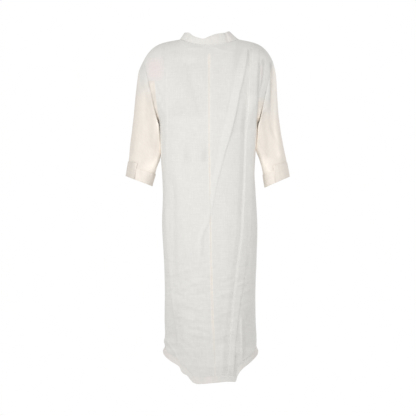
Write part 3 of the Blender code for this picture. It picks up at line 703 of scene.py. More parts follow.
def cells(across, along, rumple):
    """Soft seeded unevenness from -1 to 1 in cells of the rumple's size."""
    values = np.random.default_rng(rumple.seed).uniform(-1, 1, (RUMPLE_CELLS, RUMPLE_CELLS))
    a, b = across / rumple.across, along / rumple.along
    i, j = np.floor(a).astype(int), np.floor(b).astype(int)
    s, t = ease(a - i), ease(b - j)

    def value(m, n):
        return values[(i + m) % RUMPLE_CELLS, (j + n) % RUMPLE_CELLS]

    low = value(0, 0) * (1 - s) + value(1, 0) * s
    high = value(0, 1) * (1 - s) + value(1, 1) * s
    return low * (1 - t) + high * t


def rumpled(across, along):
    return sum(cells(across, along, rumple) * rumple.height for rumple in RUMPLES)


def puckers(across, along, near):
    """Small gathers beside a seam, by how near it is."""
    gathers = PUCKER.height * cells(across, along, PUCKER)
    return gathers * np.exp(-near / PUCKER_REACH) * ease(near / PUCKER_START)


def shades(x, z):
    """The tone of the painted light and shade at a place in the view from behind."""
    total = np.zeros(x.shape)
    for shade in SHADES:
        heights, middles = np.array(shade.path[::-1]).T
        near = bell((x - np.interp(z, heights, middles)) / shade.width)
        ends = ease((heights[-1] - z) / SHADE_FADE) * ease((z - heights[0]) / SHADE_FADE)
        total += shade.tone * near * ends
    return total


def pleat_share(pleat, x, z):
    """How far a place belongs to a pleat, and how far it lies from its left edge."""
    up = pleat.rows[::-1]
    left = np.interp(z, column(up, "height"), column(up, "left"))
    right = np.interp(z, column(up, "height"), column(up, "right"))
    strip = ease((x - left) / pleat.edge + 0.5) * ease((right - x) / pleat.edge + 0.5)
    ends = ease((pleat.rows[0].height - z) / PLEAT_FADE) * ease((z - pleat.rows[-1].height) / PLEAT_FADE)
    return strip * ends, np.clip(x - left, 0, right - left)


def pleat_lift(x, z):
    """How far the pleats lift the back."""
    total = np.zeros(x.shape)
    for pleat in PLEATS:
        share, aside = pleat_share(pleat, x, z)
        total += share * (pleat.base + pleat.slope * aside)
    return total


def body_lift(face, points, across):
    """How far the folds and rumples lift the body off its smooth surface."""
    x, y, z = np.moveaxis(points, -1, 0)
    total = pleat_lift(x, z) if face == BACK else np.zeros(x.shape)
    for fold in FOLDS[face]:
        run = np.array((fold.end_x - fold.start_x, fold.end_z - fold.start_z))
        length = np.linalg.norm(run)
        run = run / length
        ahead, aside = x - fold.start_x, z - fold.start_z
        along = (ahead * run[0] + aside * run[1]) / length
        bow = fold.bend * 4 * along * (1 - along)
        off = aside * run[0] - ahead * run[1] - bow
        slope = np.where(off < 0, fold.left_slope, fold.right_slope)
        ends = ease(along / FOLD_FADE) * ease((1 - along) / FOLD_FADE)
        total += fold.rise * ends * bell(off / slope)
    low, high = LOWER_RUMPLE_SPAN
    share = ease((z - low) / SIDE_FADE) * ease((high - z) / SIDE_FADE)
    total += share * cells(across, z + across / 4, LOWER_RUMPLE) * LOWER_RUMPLE.height
    total += share * cells(across, z - across / 6, FINE_RUMPLE) * FINE_RUMPLE.height
    total += rumpled(across, z)
    return total * ease(np.abs(y) / SIDE_FADE)


def lengths_from(points, axis, start):
    """Length along the grid's rows or columns, from one of them."""
    steps = np.linalg.norm(np.diff(points, axis=axis), axis=-1)
    shape = list(points.shape[:2])
    shape[axis] = 1
    total = np.concatenate([np.zeros(shape), np.cumsum(steps, axis=axis)], axis=axis)
    return total - np.take(total, [start], axis=axis)


def grid_normals(points, closed=False):
    """Outward normals of a grid whose columns run to the right and rows upwards, seen from outside."""
    if closed:
        wide = np.concatenate([points[:, -2:-1], points, points[:, 1:2]], axis=1)
        across = np.gradient(wide, axis=1)[:, 1:-1]
    else:
        across = np.gradient(points, axis=1)
    return unit(np.cross(across, np.gradient(points, axis=0)))


def turned(values, side):
    """A grid turned so that one of its sides is its last row. Done twice, it is as before."""
    if side == "top":
        return values
    if side == "bottom":
        return values[::-1]
    if side == "right":
        return np.swapaxes(values, 0, 1)
    return np.swapaxes(values[::-1, ::-1], 0, 1)


def turn_in(points, normals, rolls):
    """The cloth's edges rolled in at the seams, down to a narrow allowance on the inside."""
    still = np.ones(points.shape[:2] + (1,))
    for side, roll in rolls.items():
        grid, ways, free = (turned(values, side) for values in (points, normals, still))
        edge, inner, normal = grid[-1], grid[-2], ways[-1]
        run = unit(np.gradient(edge, axis=0))
        out = edge - inner
        out = unit(out - (out * run).sum(-1, keepdims=True) * run)
        rows = [edge - out * aside - normal * down * free[-1] for aside, down in roll]
        points = turned(np.concatenate([grid[:-1], rows]), side)
        normals = turned(np.concatenate([ways[:-1], [normal] * len(roll)]), side)
        still = turned(np.concatenate([free[:-1], [free[-1]], [free[-1] * 0] * (len(roll) - 1)]), side)
    return points


def cloth_sheet(name, points, marks=None, grain=(0, 0)):
    """A sheet of cloth through a grid of points. Its UV map gives metres along the cloth from the
    grain's row and column, and each mark is an attribute of its points."""
    rows, columns = points.shape[:2]
    bpy.ops.object.select_all(action="DESELECT")
    bpy.ops.mesh.primitive_grid_add(x_subdivisions=columns - 1, y_subdivisions=rows - 1, calc_uvs=True)
    cloth = bpy.context.object
    cloth.name = name
    mesh = cloth.data
    mesh.name = name
    mesh.vertices.foreach_set("co", points.astype(np.float32).ravel())
    for mark in ("tone", "cream", "blush"):
        values = (marks or {}).get(mark, np.zeros(points.shape[:2]))
        attribute = mesh.attributes.new(mark, "FLOAT", "POINT")
        attribute.data.foreach_set("value", values.astype(np.float32).ravel())
    flat = np.stack([lengths_from(points, 1, grain[1]), lengths_from(points, 0, grain[0])], axis=-1)
    corners = np.empty(len(mesh.loops), int)
    mesh.loops.foreach_get("vertex_index", corners)
    mesh.uv_layers[0].data.foreach_set("uv", flat.reshape(-1, 2)[corners].astype(np.float32).ravel())
    bpy.ops.object.mode_set(mode="EDIT")
    bpy.ops.mesh.select_all(action="SELECT")
    bpy.ops.mesh.remove_doubles(threshold=1e-6)
    bpy.ops.object.mode_set(mode="OBJECT")
    mesh.update()
    return cloth


def sew(scene, node, points, marks=None, grain=(0, 0)):
    """A piece's cloth with its thickness and finish, set in the place of its solid."""
    kind = KINDS[node.split("_")[0]]
    size = scene.midi_dress_cloth
    thickness = size.doubled if kind.doubled else size.thickness
    cloth = cloth_sheet("cloth_" + node, points, marks, grain)
    bpy.ops.object.select_all(action="DESELECT")
    cloth.select_set(True)
    bpy.context.view_layer.objects.active = cloth
    solidify = cloth.modifiers.new("Thickness", "SOLIDIFY")
    solidify.thickness = thickness
    solidify.offset = -1
    bpy.ops.object.modifier_apply(modifier=solidify.name)
    if kind.doubled:
        bevel = cloth.modifiers.new("Rounded edge", "BEVEL")
        bevel.width = thickness * EDGE_ROUNDING
        bevel.segments = 3
        bevel.limit_method = "ANGLE"
        bevel.angle_limit = math.radians(50)
        bpy.ops.object.modifier_apply(modifier=bevel.name)
    bpy.ops.object.shade_smooth()
    cloth.data.materials.clear()
    cloth.data.materials.append(linen(kind.cloth, getattr(scene.midi_dress_linen, kind.colour)))
    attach(cloth, "root")
    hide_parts(node)


def fill(tree, node, inputs):
    """Gives a node's inputs their values, or links them where a value is another node's socket."""
    for key, value in inputs.items():
        if isinstance(value, bpy.types.NodeSocket):
            tree.links.new(value, node.inputs[key])
        else:
            node.inputs[key].default_value = value
    return node


def add_node(tree, kind, inputs, **settings):
    node = tree.nodes.new(kind)
    for name, value in settings.items():
        setattr(node, name, value)
    return fill(tree, node, inputs)


def new_material(name, inputs):
    """A material with values on its shader."""
    made = bpy.data.materials.new(name)
    made.use_nodes = True
    fill(made.node_tree, made.node_tree.nodes["Principled BSDF"], inputs)
    return made


def on_cloth(tree):
    """Places on the cloth's own UV map."""
    return add_node(tree, "ShaderNodeUVMap", {}, uv_map="UVMap").outputs["UV"]


def cloth_noise(tree, scale, detail=2.0):
    """Noise on the cloth, with its cells per metre across and along it."""
    place = add_node(tree, "ShaderNodeMapping", {"Vector": on_cloth(tree), "Scale": (*scale, 1)})
    inputs = {"Vector": place.outputs["Vector"], "Scale": 1.0, "Detail": detail}
    return add_node(tree, "ShaderNodeTexNoise", inputs).outputs[0]


def maths(tree, operation, *values):
    return add_node(tree, "ShaderNodeMath", dict(enumerate(values)), operation=operation).outputs[0]


def mark(tree, name):
    """How strong one of the cloth's marks is."""
    return add_node(tree, "ShaderNodeAttribute", {}, attribute_name=name).outputs["Fac"]


def mixed(tree, share, first, second):
    inputs = {0: share, 6: first, 7: (*second, 1)}
    return add_node(tree, "ShaderNodeMix", inputs, data_type="RGBA").outputs[2]


def scaled(tree, colour, tone):
    return add_node(tree, "ShaderNodeVectorMath", {0: colour, "Scale": tone}, operation="SCALE").outputs[0]


def thread_wave(tree, direction, pitch):
    """The rise and fall of the threads in one direction of the weave."""
    inputs = {"Vector": on_cloth(tree), "Scale": math.pi / (10 * pitch), "Distortion": 0.0}
    return add_node(tree, "ShaderNodeTexWave", inputs, bands_direction=direction).outputs["Fac"]


def bump(tree, height, relief, before=None):
    inputs = {"Height": height, "Distance": relief[0], "Strength": relief[1]}
    if before:
        inputs["Normal"] = before
    return add_node(tree, "ShaderNodeBump", inputs).outputs["Normal"]


def linen(name, colour):
    """Washed plain-weave linen: fine threads, thicker slubs both ways, and a faint cloudy tone."""
    made = bpy.data.materials.get(name)
    if made:
        return made
    look = bpy.context.scene.midi_dress_linen
    made = new_material(name, {
        "Roughness": look.roughness, "Specular IOR Level": 0.25,
        "Sheen Weight": look.sheen, "Sheen Roughness": 0.5})
    tree = made.node_tree
    cloud = cloth_noise(tree, CLOUD_CELLS, 3.0)
    fleck = maths(tree, "MULTIPLY", cloth_noise(tree, FLECK_CELLS), cloth_noise(tree, FLECK_CELLS[::-1]))
    warp = cloth_noise(tree, WARP_CELLS)
    weft = cloth_noise(tree, WEFT_CELLS)
    slub = maths(tree, "ADD", maths(tree, "POWER", warp, 3.0), maths(tree, "POWER", weft, 3.0))
    tone = maths(tree, "MULTIPLY_ADD", cloud, look.cloud, 1.0 - look.cloud / 2)
    tone = maths(tree, "MULTIPLY_ADD", fleck, look.fleck, tone)
    tone = maths(tree, "MULTIPLY_ADD", slub, look.slub, tone)
    tone = maths(tree, "SUBTRACT", tone, look.fleck / 4 + look.slub / 4)
    tone = maths(tree, "ADD", tone, mark(tree, "tone"))
    tint = mixed(tree, mark(tree, "cream"), (*colour, 1), look.sleeve)
    tint = mixed(tree, mark(tree, "blush"), tint, look.blush)
    weave = maths(tree, "MULTIPLY", thread_wave(tree, "X", look.thread_pitch),
                  thread_wave(tree, "Y", look.thread_pitch))
    normal = bump(tree, weave, WEAVE_RELIEF)
    normal = bump(tree, slub, SLUB_RELIEF, normal)
    normal = bump(tree, cloth_noise(tree, CRINKLE_CELLS, 4.0), CRINKLE_RELIEF, normal)
    fill(tree, tree.nodes["Principled BSDF"], {"Base Color": scaled(tree, tint, tone), "Normal": normal})
    return made


def even_columns(step):
    """Columns of half a body panel, with one just where the neckline ends."""
    neck = round(NECK_RUN / step)
    shoulder = round(SHOULDER_RUN / step)
    inner = np.linspace(0, NECK_SHARE, neck + 1)
    return np.concatenate([inner, np.linspace(NECK_SHARE, 1, shoulder + 1)[1:]])


def sleeve_marks(hand, points):
    """Where a sleeve shows its cream tone: not on its cap, which looks like the body. Its inner side is
    painted lighter where it lies in shade, each sleeve has a painted light of its own, and its back carries
    the painted light and shade of its folds."""
    x, y, z = np.moveaxis(points, -1, 0)
    wide = np.abs(x)
    low, high = CREAM_SPAN[hand]
    cream = ease((high - z) / (high - low))
    start, fade = CREAM_OUTER_START
    outside = CREAM_OUTER_SHARE * ease((wide - CREAM_OUTER[hand]) / CREAM_OUTER_EDGE)
    cream = np.maximum(cream, outside * ease((start - z) / fade))
    rings = SLEEVE_RINGS[hand][::-1]
    inner, outer, forward = (np.interp(z, column(rings, "outer_z"), column(rings, field))
                             for field in ("inner_x", "outer_x", "forward"))
    aside = np.clip((outer - wide) / (outer - inner), 0, 1)
    inner_light = np.interp(z, INNER_SPAN, INNER_PAINTED_LIGHT[::-1])
    start, fade = INNER_START
    # Painted light on the inner side, where the sleeve lies in shade, and each sleeve's own painted light;
    # the back carries the painted light and shade of its folds
    tone = inner_light * ease((start - z) / fade) * aside**4 + SLEEVE_PAINTED_LIGHT[hand]
    return {"cream": cream, "tone": tone + shades(x, z) * (y < forward)}


class BodyGrid:
    """The cloth of one face of the body from the hem band's seam up, folded, with its normals."""

    def __init__(self, face, step):
        self.face = face
        u = even_columns(step)
        across = np.concatenate([-u[::-1], u[1:]])
        self.across = across[::-1] if face == FRONT else across
        self.middle = len(u) - 1
        points = self.smoothed(both_halves(face, lambda hand: self.half(face, hand, u, step)))
        normals = grid_normals(points)
        wide = lengths_from(points, 1, self.middle) * face * -1
        lift = body_lift(face, points, wide)
        side = np.minimum(np.linalg.norm(points - points[:, :1], axis=-1),
                          np.linalg.norm(points - points[:, -1:], axis=-1))
        top = np.linalg.norm(points - points[-1:], axis=-1)
        upper = np.arange(len(points))[:, None] > self.underarm
        lift *= ease(top / SEAM_FADE) * np.where(upper, ease(side / SEAM_FADE), 1.0)
        near = np.minimum(side, top)
        if face == BACK:
            near = np.minimum(near, np.abs(wide))
        lift += puckers(wide, points[..., 2], near)
        self.wide = wide
        self.points = points + normals * lift[..., None]
        self.normals = self.at_seams(grid_normals(self.points))

    def half(self, face, hand, u, step):
        """One half, from the centre line out."""
        self.underarm = round(LOWER_RUN / step)
        yoke = round(YOKE_RUN / step)
        hem = hem_height(face, hand, u) + HEM_BAND
        v = np.linspace(0, 1, self.underarm + 1)[:, None]
        z = hem * (1 - v) + UNDERARM * v
        lower = body_point(face, hand, np.broadcast_to(u, z.shape), z)
        w = np.linspace(0, 1, yoke + 1)[1:, None]
        self.heights = w[:, 0]
        return np.concatenate([lower, yoke_point(face, hand, u[None, :], w)])

    def smoothed(self, points):
        """Evens out the change of form at the underarm's height, away from the side seams, and below
        the neck's corners."""
        above = np.arange(len(points)) - self.underarm
        share = bell(above / SMOOTH_ROWS)[1:-1, None] * (1 - np.abs(self.across) ** 6) / 2
        for _ in range(SMOOTH_ROUNDS):
            middle = (points[:-2] + points[2:]) / 2
            points[1:-1] += (middle - points[1:-1]) * share[..., None]
        turn = bell((np.abs(self.across) - NECK_SHARE) / SMOOTH_TURN)[None, 1:-1]
        above = above[:, None]
        below = len(points) - 1 - self.underarm - above
        share = turn * ease(below / SMOOTH_TOP) * ease(above / SMOOTH_ROWS) / 2
        for _ in range(SMOOTH_ROUNDS):
            middle = (points[:, :-2] + points[:, 2:]) / 2
            points[:, 1:-1] += (middle - points[:, 1:-1]) * share[..., None]
        return points

    def at_seams(self, normals):
        """Normals at the seams halfway between the two cloths that meet there."""
        normals = normals.copy()
        u = np.abs(self.across)
        hands = np.where(self.across < 0, LEFT, RIGHT)
        neck = u <= NECK_SHARE
        place = neck_place(self.face, 1, np.minimum(u / NECK_SHARE, 1)) * hands
        normals[-1, neck] = unit(normals[-1, neck] + collar_normal(place[neck]))
        normals[-1, ~neck, 1] = 0
        normals[: self.underarm + 1, [0, -1], 1] = 0
        for edge in (0, -1):
            hand = LEFT if self.across[edge] < 0 else RIGHT
            ways = sleeve_normal(hand, np.zeros(len(self.heights)), armhole_place(self.face, self.heights))
            yoke = slice(self.underarm + 1, None)
            normals[yoke, edge] = unit(normals[yoke, edge]) + ways
        return unit(normals)

    def remember_armhole(self, hand, inwards):
        """Keeps the line beside an armhole, part of the way from the edge to the next column."""
        start, stop = ARMHOLE_STITCHES
        rows_up = slice(self.underarm + start, stop)
        edge, second = (0, 1) if hand == self.face else (-1, -2)
        line = self.points[rows_up, edge] * (1 - inwards) + self.points[rows_up, second] * inwards
        remember_line(line, self.normals[rows_up, second])

    def marks(self):
        """Where the allowance of the centre seam and the front's hem show through, the painted light and
        shade of the folds, pleats and shade spots, a faint blush, and the cream beside the armholes.
        """
        x, z = self.points[..., 0], self.points[..., 2]
        if self.face == FRONT:
            return {}
        strip = ease((ALLOWANCE_WIDTH + ALLOWANCE_EDGE / 2 - np.abs(self.wide)) / ALLOWANCE_EDGE)
        patches = ALLOWANCE_UNEVEN * cells(self.wide, z, ALLOWANCE_PATCHES)
        strip = strip * (1 - ALLOWANCE_UNEVEN + patches)
        foot, rise = ALLOWANCE_GROWTH
        head, fade = ALLOWANCE_END
        growth = ALLOWANCE_FAINT + (1 - ALLOWANCE_FAINT) * ease((z - foot) / rise)
        strip = strip * growth * ease((head - z) / fade)
        strip = strip * (1 - ALLOWANCE_COVER * pleat_share(PLEATS[0], x, z)[0])
        turn = np.arcsin(np.minimum(np.abs(x) / SEEN_HALF_WIDTH, 1))
        front_hem = hem_height(FRONT, np.sign(x), turn * 2 / math.pi)
        # The painted light and shade of the folds join the tone of the seam allowance and of the hem that
        # shows through
        tone = ALLOWANCE_TONE * strip + shades(x, z) - SEEN_HEM_TONE * ease((front_hem - z) / SEEN_HEM_EDGE)
        tone = tone - SEEN_LINE_TONE * bell((z - front_hem + SEEN_LINE_BELOW) / SEEN_LINE_WIDTH)
        # Painted light on lit pleats and painted shade in their hollows
        for pleat in PLEATS:
            tone = tone + pleat.tone * pleat_share(pleat, x, z)[0]
        # Spots of painted shade
        for shade_spot in SHADE_SPOTS:
            reach = ((x - shade_spot.x) / shade_spot.across) ** 2 + ((z - shade_spot.z) / shade_spot.up) ** 2
            tone = tone - shade_spot.tone * np.exp(-reach / 2)
        blush = np.zeros(x.shape)
        for spot in BLUSHES:
            reach = ((x - spot.x) / spot.across) ** spot.power + ((z - spot.z) / spot.up) ** spot.power
            blush += spot.strength * np.exp(-reach)
        cream = strip * ease((CREAM_LINE - np.abs(self.wide)) / CREAM_LINE_EDGE + 0.5)
        for hand, line in CREAM_SIDE.items():
            heights, edge = np.array(line[::-1]).T
            beyond = ease(hand * (x - np.interp(z, heights, edge)) / CREAM_SIDE_EDGE + 0.5)
            ends = ease((heights[-1] - z) / CREAM_SIDE_FADE[hand])
            ends = ends * ease((z - heights[0]) / CREAM_SIDE_END)
            cream = np.maximum(cream, beyond * ends)
        return {"tone": tone, "cream": cream, "blush": blush}


def padded_marks(marks):
    """The marks carried over the turned-in edges."""
    return {name: np.pad(values, len(ROLL) - 1, mode="edge") for name, values in marks.items()}


def remember_line(points, normals):
    """Keeps a line of topstitching for the stitching's own operator."""
    stitch_lines.append((np.asarray(points), np.asarray(normals)))


def size_of(name, default, description):
    return bpy.props.FloatProperty(name=name, description=description, default=default, unit="LENGTH")


def share_of(name, default, description):
    return bpy.props.FloatProperty(name=name, description=description, default=default, subtype="FACTOR")


def colour_of(name, default, description):
    return bpy.props.FloatVectorProperty(
        name=name, description=description, default=default, subtype="COLOR", min=0, max=1)


class MidiDressCloth(bpy.types.PropertyGroup):
    """Sizes of the cloth."""

    thickness: size_of("Cloth", 0.0005, "Thickness of one layer of linen")
    doubled: size_of("Doubled cloth", 0.0015, "Thickness of collar, cuffs and hem bands")


class MidiDressLinen(bpy.types.PropertyGroup):
    """Colours and finish of the linen."""

    body: colour_of("Body", (0.649, 0.641, 0.617), "Colour of the body's linen")
    blush: colour_of("Blush", (0.665, 0.610, 0.597), "Colour of the faint pink at the left shoulder")
    sleeve: colour_of("Sleeves", (0.712, 0.662, 0.604), "Colour of the linen of sleeves and cuffs")
    band: colour_of("Collar and hem", (0.640, 0.628, 0.603), "Colour of the collar and the hem bands")
    thread: colour_of("Thread", (0.60, 0.585, 0.55), "Colour of the sewing thread")
    roughness: share_of("Roughness", 0.92, "Roughness of the linen")
    sheen: share_of("Sheen", 0.12, "Soft sheen of the fibres")
    thread_pitch: size_of("Thread pitch", 0.0006, "Distance from thread to thread of the weave")
    cloud: share_of("Cloudiness", 0.05, "Share by which the tone drifts over the cloth")
    fleck: share_of("Flecks", 0.20, "Share by which small flecks change the tone")
    slub: share_of("Slubs", 0.10, "Share by which thick threads change the tone")


class MidiDressStitch(bpy.types.PropertyGroup):
    """Sizes of the topstitching."""

    pitch: size_of("Pitch", 0.0032, "Distance from stitch to stitch")
    length: size_of("Length", 0.0026, "Length of a stitch")
    width: size_of("Width", 0.0004, "Thickness of the thread")


class MidiDressStage(bpy.types.PropertyGroup):
    """Floor, light and camera."""

    floor_height: size_of("Floor height", -1.75, "Height of the floor")
    floor_radius: size_of("Floor radius", 4.2, "Radius of the floor")
    surround: bpy.props.FloatProperty(
        name="Surround", description="Strength of the even light", default=0.78)
    key: bpy.props.FloatProperty(
        name="Key light", description="Power of the soft light at the left, on the back's side",
        default=13.5, unit="POWER")
    camera_distance: size_of("Camera distance", 10.0, "Distance of the camera from the dress")


class MIDIDRESS_OT_back(bpy.types.Operator):
    """Sews the two back panels, which meet at the centre seam"""

    bl_idname = "midi_dress.back"
    bl_label = "Back panels"

    def execute(self, context):
        body = BodyGrid(BACK, BODY_STEP)
        marks = body.marks()
        halves = {
            LEFT: ("back_left", slice(None, body.middle + 1)),
            RIGHT: ("back_right", slice(body.middle, None)),
        }
        for hand, (node, part) in halves.items():
            rolls = dict.fromkeys(SIDES, ROLL)
            rolls["right" if hand == LEFT else "left"] = FLAT_ROLL
            rolls["bottom"] = FLAT_ROLL
            points = turn_in(body.points[:, part], body.normals[:, part], rolls)
            kept = padded_marks({name: values[:, part] for name, values in marks.items()})
            sew(context.scene, node, points, kept, (body.underarm, 0 if hand == RIGHT else -1))
            body.remember_armhole(hand, 0.65)
        return {"FINISHED"}


class MIDIDRESS_OT_front(bpy.types.Operator):
    """Sews the front panel"""

    bl_idname = "midi_dress.front"
    bl_label = "Front panel"

    def execute(self, context):
        body = BodyGrid(FRONT, FRONT_STEP)
        points = turn_in(body.points, body.normals, dict.fromkeys(SIDES, ROLL))
        sew(context.scene, "front", points, padded_marks(body.marks()), (body.underarm, body.middle))
        for hand in (RIGHT, LEFT):
            body.remember_armhole(hand, 0.55)
        return {"FINISHED"}


class MIDIDRESS_OT_sleeves(bpy.types.Operator):
    """Sews both sleeves from the armhole to the wrist"""

    bl_idname = "midi_dress.sleeves"
    bl_label = "Sleeves"

    def execute(self, context):
        for hand in (LEFT, RIGHT):
            points = turn_in(*self.sleeve(hand), {"top": ROLL})
            marks = sleeve_marks(hand, points)
            sew(context.scene, "sleeve_" + NAME_OF[hand], points, marks, (len(points) // 2, 0))
        return {"FINISHED"}

    def sleeve(self, hand):
        """The sleeve's folded cloth, with columns that run to the right seen from outside."""
        columns = round(SLEEVE_ROUND / SLEEVE_STEP)
        around, k = net(round(SLEEVE_RUN / SLEEVE_STEP), columns, up=(SLEEVE_END, 0))
        if hand == LEFT:
            around = around[:, ::-1]
        points = sleeve_point(hand, k, around)
        normals = sleeve_normal(hand, k, around)
        lift = rumpled(np.sin(2 * np.pi * around) * SLEEVE_DEPTH, lengths_from(points, 0, 0))
        for fold in SLEEVE_FOLDS[hand]:
            t = (k - fold.start_ring) / (fold.end_ring - fold.start_ring)
            crest = fold.start_around + (fold.end_around - fold.start_around) * t
            inside = np.sin(math.pi * np.clip(t, 0, 1))
            lift += fold.rise * inside * bell((around - crest) / fold.width)
        depth = np.linalg.norm(points - points[-1:], axis=-1)
        lift *= ease(depth / SEAM_FADE)
        lift += puckers(around * SLEEVE_ROUND, depth, depth)
        points = points + normals * lift[..., None]
        points[:, -1] = points[:, 0]
        ways = grid_normals(points, closed=True)
        ways[-1] = self.armhole_ways(hand, around[-1])
        return points, ways

    def armhole_ways(self, hand, around):
        """Between the sleeve's and the body's normals round the armhole."""
        own = sleeve_normal(hand, np.zeros(around.shape), around)
        back = around <= 0.5
        w = np.where(back, around * 2, (1 - around) * 2)
        ways = own.copy()
        for face, chosen in ((BACK, back), (FRONT, ~back)):
            at, near = np.ones(chosen.sum()), 1 - 1e-3
            up = np.clip(w[chosen] + 1e-3, 0, 1)
            down = np.clip(w[chosen] - 1e-3, 0, 1)
            along = yoke_point(face, hand, at, up) - yoke_point(face, hand, at, down)
            across = yoke_point(face, hand, at, w[chosen]) - yoke_point(face, hand, at * near, w[chosen])
            body = unit(np.cross(across, along)) * hand * -face
            ways[chosen] = unit(own[chosen] + body)
        return ways


class MIDIDRESS_OT_collar(bpy.types.Operator):
    """Sews the stand collar, of two layers of linen"""

    bl_idname = "midi_dress.collar"
    bl_label = "Collar"

    def execute(self, context):
        columns = round(COLLAR_ROUND / TRIM_STEP)
        place, share = net(COLLAR_ROWS, columns, run=(-2, 2))
        points = collar_point(place, share)
        points[:, -1] = points[:, 0]
        normals = grid_normals(points, closed=True)
        lift = cells(place * COLLAR_ROUND / 4, share * COLLAR_HEIGHT, TRIM_RUMPLE) * TRIM_RUMPLE.height
        for fold in COLLAR_FOLDS:
            crest = fold.base + (fold.top - fold.base) * share
            lift += fold.rise * bell((place - crest) / fold.width)
        ends = ease((2 - np.abs(place)) / COLLAR_ENDS)
        points = points + normals * (lift * ease(share / TRIM_START) * ends)[..., None]
        points[0] += (points[1] - points[0]) * SEAM_PULL
        points[:, -1] = points[:, 0]
        normals = grid_normals(points, closed=True)
        x, y, z = np.moveaxis(points, -1, 0)
        # The back of the collar carries the painted shade of its fold
        marks = {"cream": np.full(x.shape, 0.06), "tone": 0.02 + shades(x, z) * (y < 0),
                 "blush": 0.1 + 0.2 * cells(x, z, BAND_PATCHES)}
        sew(context.scene, "collar", points, marks, (0, columns // 2))
        for low in (1, COLLAR_ROWS - 2):
            remember_line(points[low], normals[low])
        return {"FINISHED"}


class MIDIDRESS_OT_cuffs(bpy.types.Operator):
    """Sews both turned-up cuffs, whose ends cross over at the vent"""

    bl_idname = "midi_dress.cuffs"
    bl_label = "Cuffs"

    def execute(self, context):
        for hand in (LEFT, RIGHT):
            points = self.cuff(hand)
            if hand == RIGHT:
                points = points[:, ::-1]
            normals = grid_normals(points)
            x = points[..., 0]
            # Painted shade over the vent's outer end, painted light towards the inner arm and each cuff's
            # own painted light, with random streaks in the tone
            shaded = CUFF_SHADE[hand] * ease((np.abs(x) - CUFF_SHADE_FROM[hand]) / CUFF_SHADE_EDGE)
            streaks = cells(x, points[..., 2] + x, CUFF_STREAKS) * CUFF_STREAKS.height
            shaded = shaded + CUFF_INNER_PAINTED_LIGHT * ease((CUFF_INNER_TO - np.abs(x)) / CUFF_INNER_FADE) ** 2
            marks = {"cream": np.ones(x.shape), "tone": CUFF_PAINTED_LIGHT[hand] + shaded + streaks}
            sew(context.scene, "cuff_" + NAME_OF[hand], points, marks)
            for row in (1, -2):
                remember_line(points[row, 2:-2], normals[row, 2:-2])
        return {"FINISHED"}

    def cuff(self, hand):
        """The outer side, from the vent's inner end round the arm to its outer end."""
        run, up = net(CUFF_ROWS, round(SLEEVE_ROUND / TRIM_STEP), run=(0, 1 + CUFF_OVERLAP))
        around = CUFF_VENT[hand] + CUFF_OVERLAP - run
        climb = ease((run - 1 + CUFF_CLIMB) / CUFF_CLIMB)
        top = CUFF_TOP + (CUFF_VENT_TOP - CUFF_TOP) * climb
        k = CUFF_END + (top - CUFF_END) * up
        points = sleeve_point(hand, k, around)
        ways = sleeve_normal(hand, k, around)
        over = ease((run - 1 + CUFF_OVERLAP) / CUFF_OVERLAP)
        lift = CUFF_CLEARANCE + CUFF_THICKNESS + (CUFF_THICKNESS + CUFF_CLEARANCE) * over
        uneven = cells(run * CUFF_ROUND, up * CUFF_HEIGHT, TRIM_RUMPLE) * TRIM_RUMPLE.height
        uneven = uneven * ease(up / TRIM_START)
        return points + ways * (lift + np.maximum(uneven, -CUFF_DIP))[..., None]


class MIDIDRESS_OT_hem(bpy.types.Operator):
    """Sews the bands of the curved hem"""

    bl_idname = "midi_dress.hem"
    bl_label = "Hem bands"

    def execute(self, context):
        for face, node in ((BACK, "hem_band_back"), (FRONT, "hem_band_front")):
            points = self.band(face)
            normals = grid_normals(points)
            patches = cells(points[..., 0], points[..., 2], BAND_PATCHES)
            marks = {"cream": 0.2 + 0.2 * patches, "blush": 0.25 + 0.45 * patches,
                     "tone": 0.012 + 0.025 * patches}
            sew(context.scene, node, points, marks)
            remember_line(points[-2, 2:-2], normals[-2, 2:-2])
        return {"FINISHED"}

    def band(self, face):
        u = even_columns(BODY_STEP)
        v = np.linspace(0, 1, BAND_ROWS + 1)[:, None]

        def half(hand):
            z = hem_height(face, hand, u) + HEM_BAND * v
            return body_point(face, hand, np.broadcast_to(u, z.shape), z)

        points = both_halves(face, half)
        normals = grid_normals(points)
        wide = lengths_from(points, 1, len(u) - 1) * face * -1
        points = points + normals * body_lift(face, points, wide)[..., None]
        points[-1] += (points[-2] - points[-1]) * SEAM_PULL
        points[:, 0] += (points[:, 1] - points[:, 0]) * SIDE_PULL
        points[:, -1] += (points[:, -2] - points[:, -1]) * SIDE_PULL
        return points


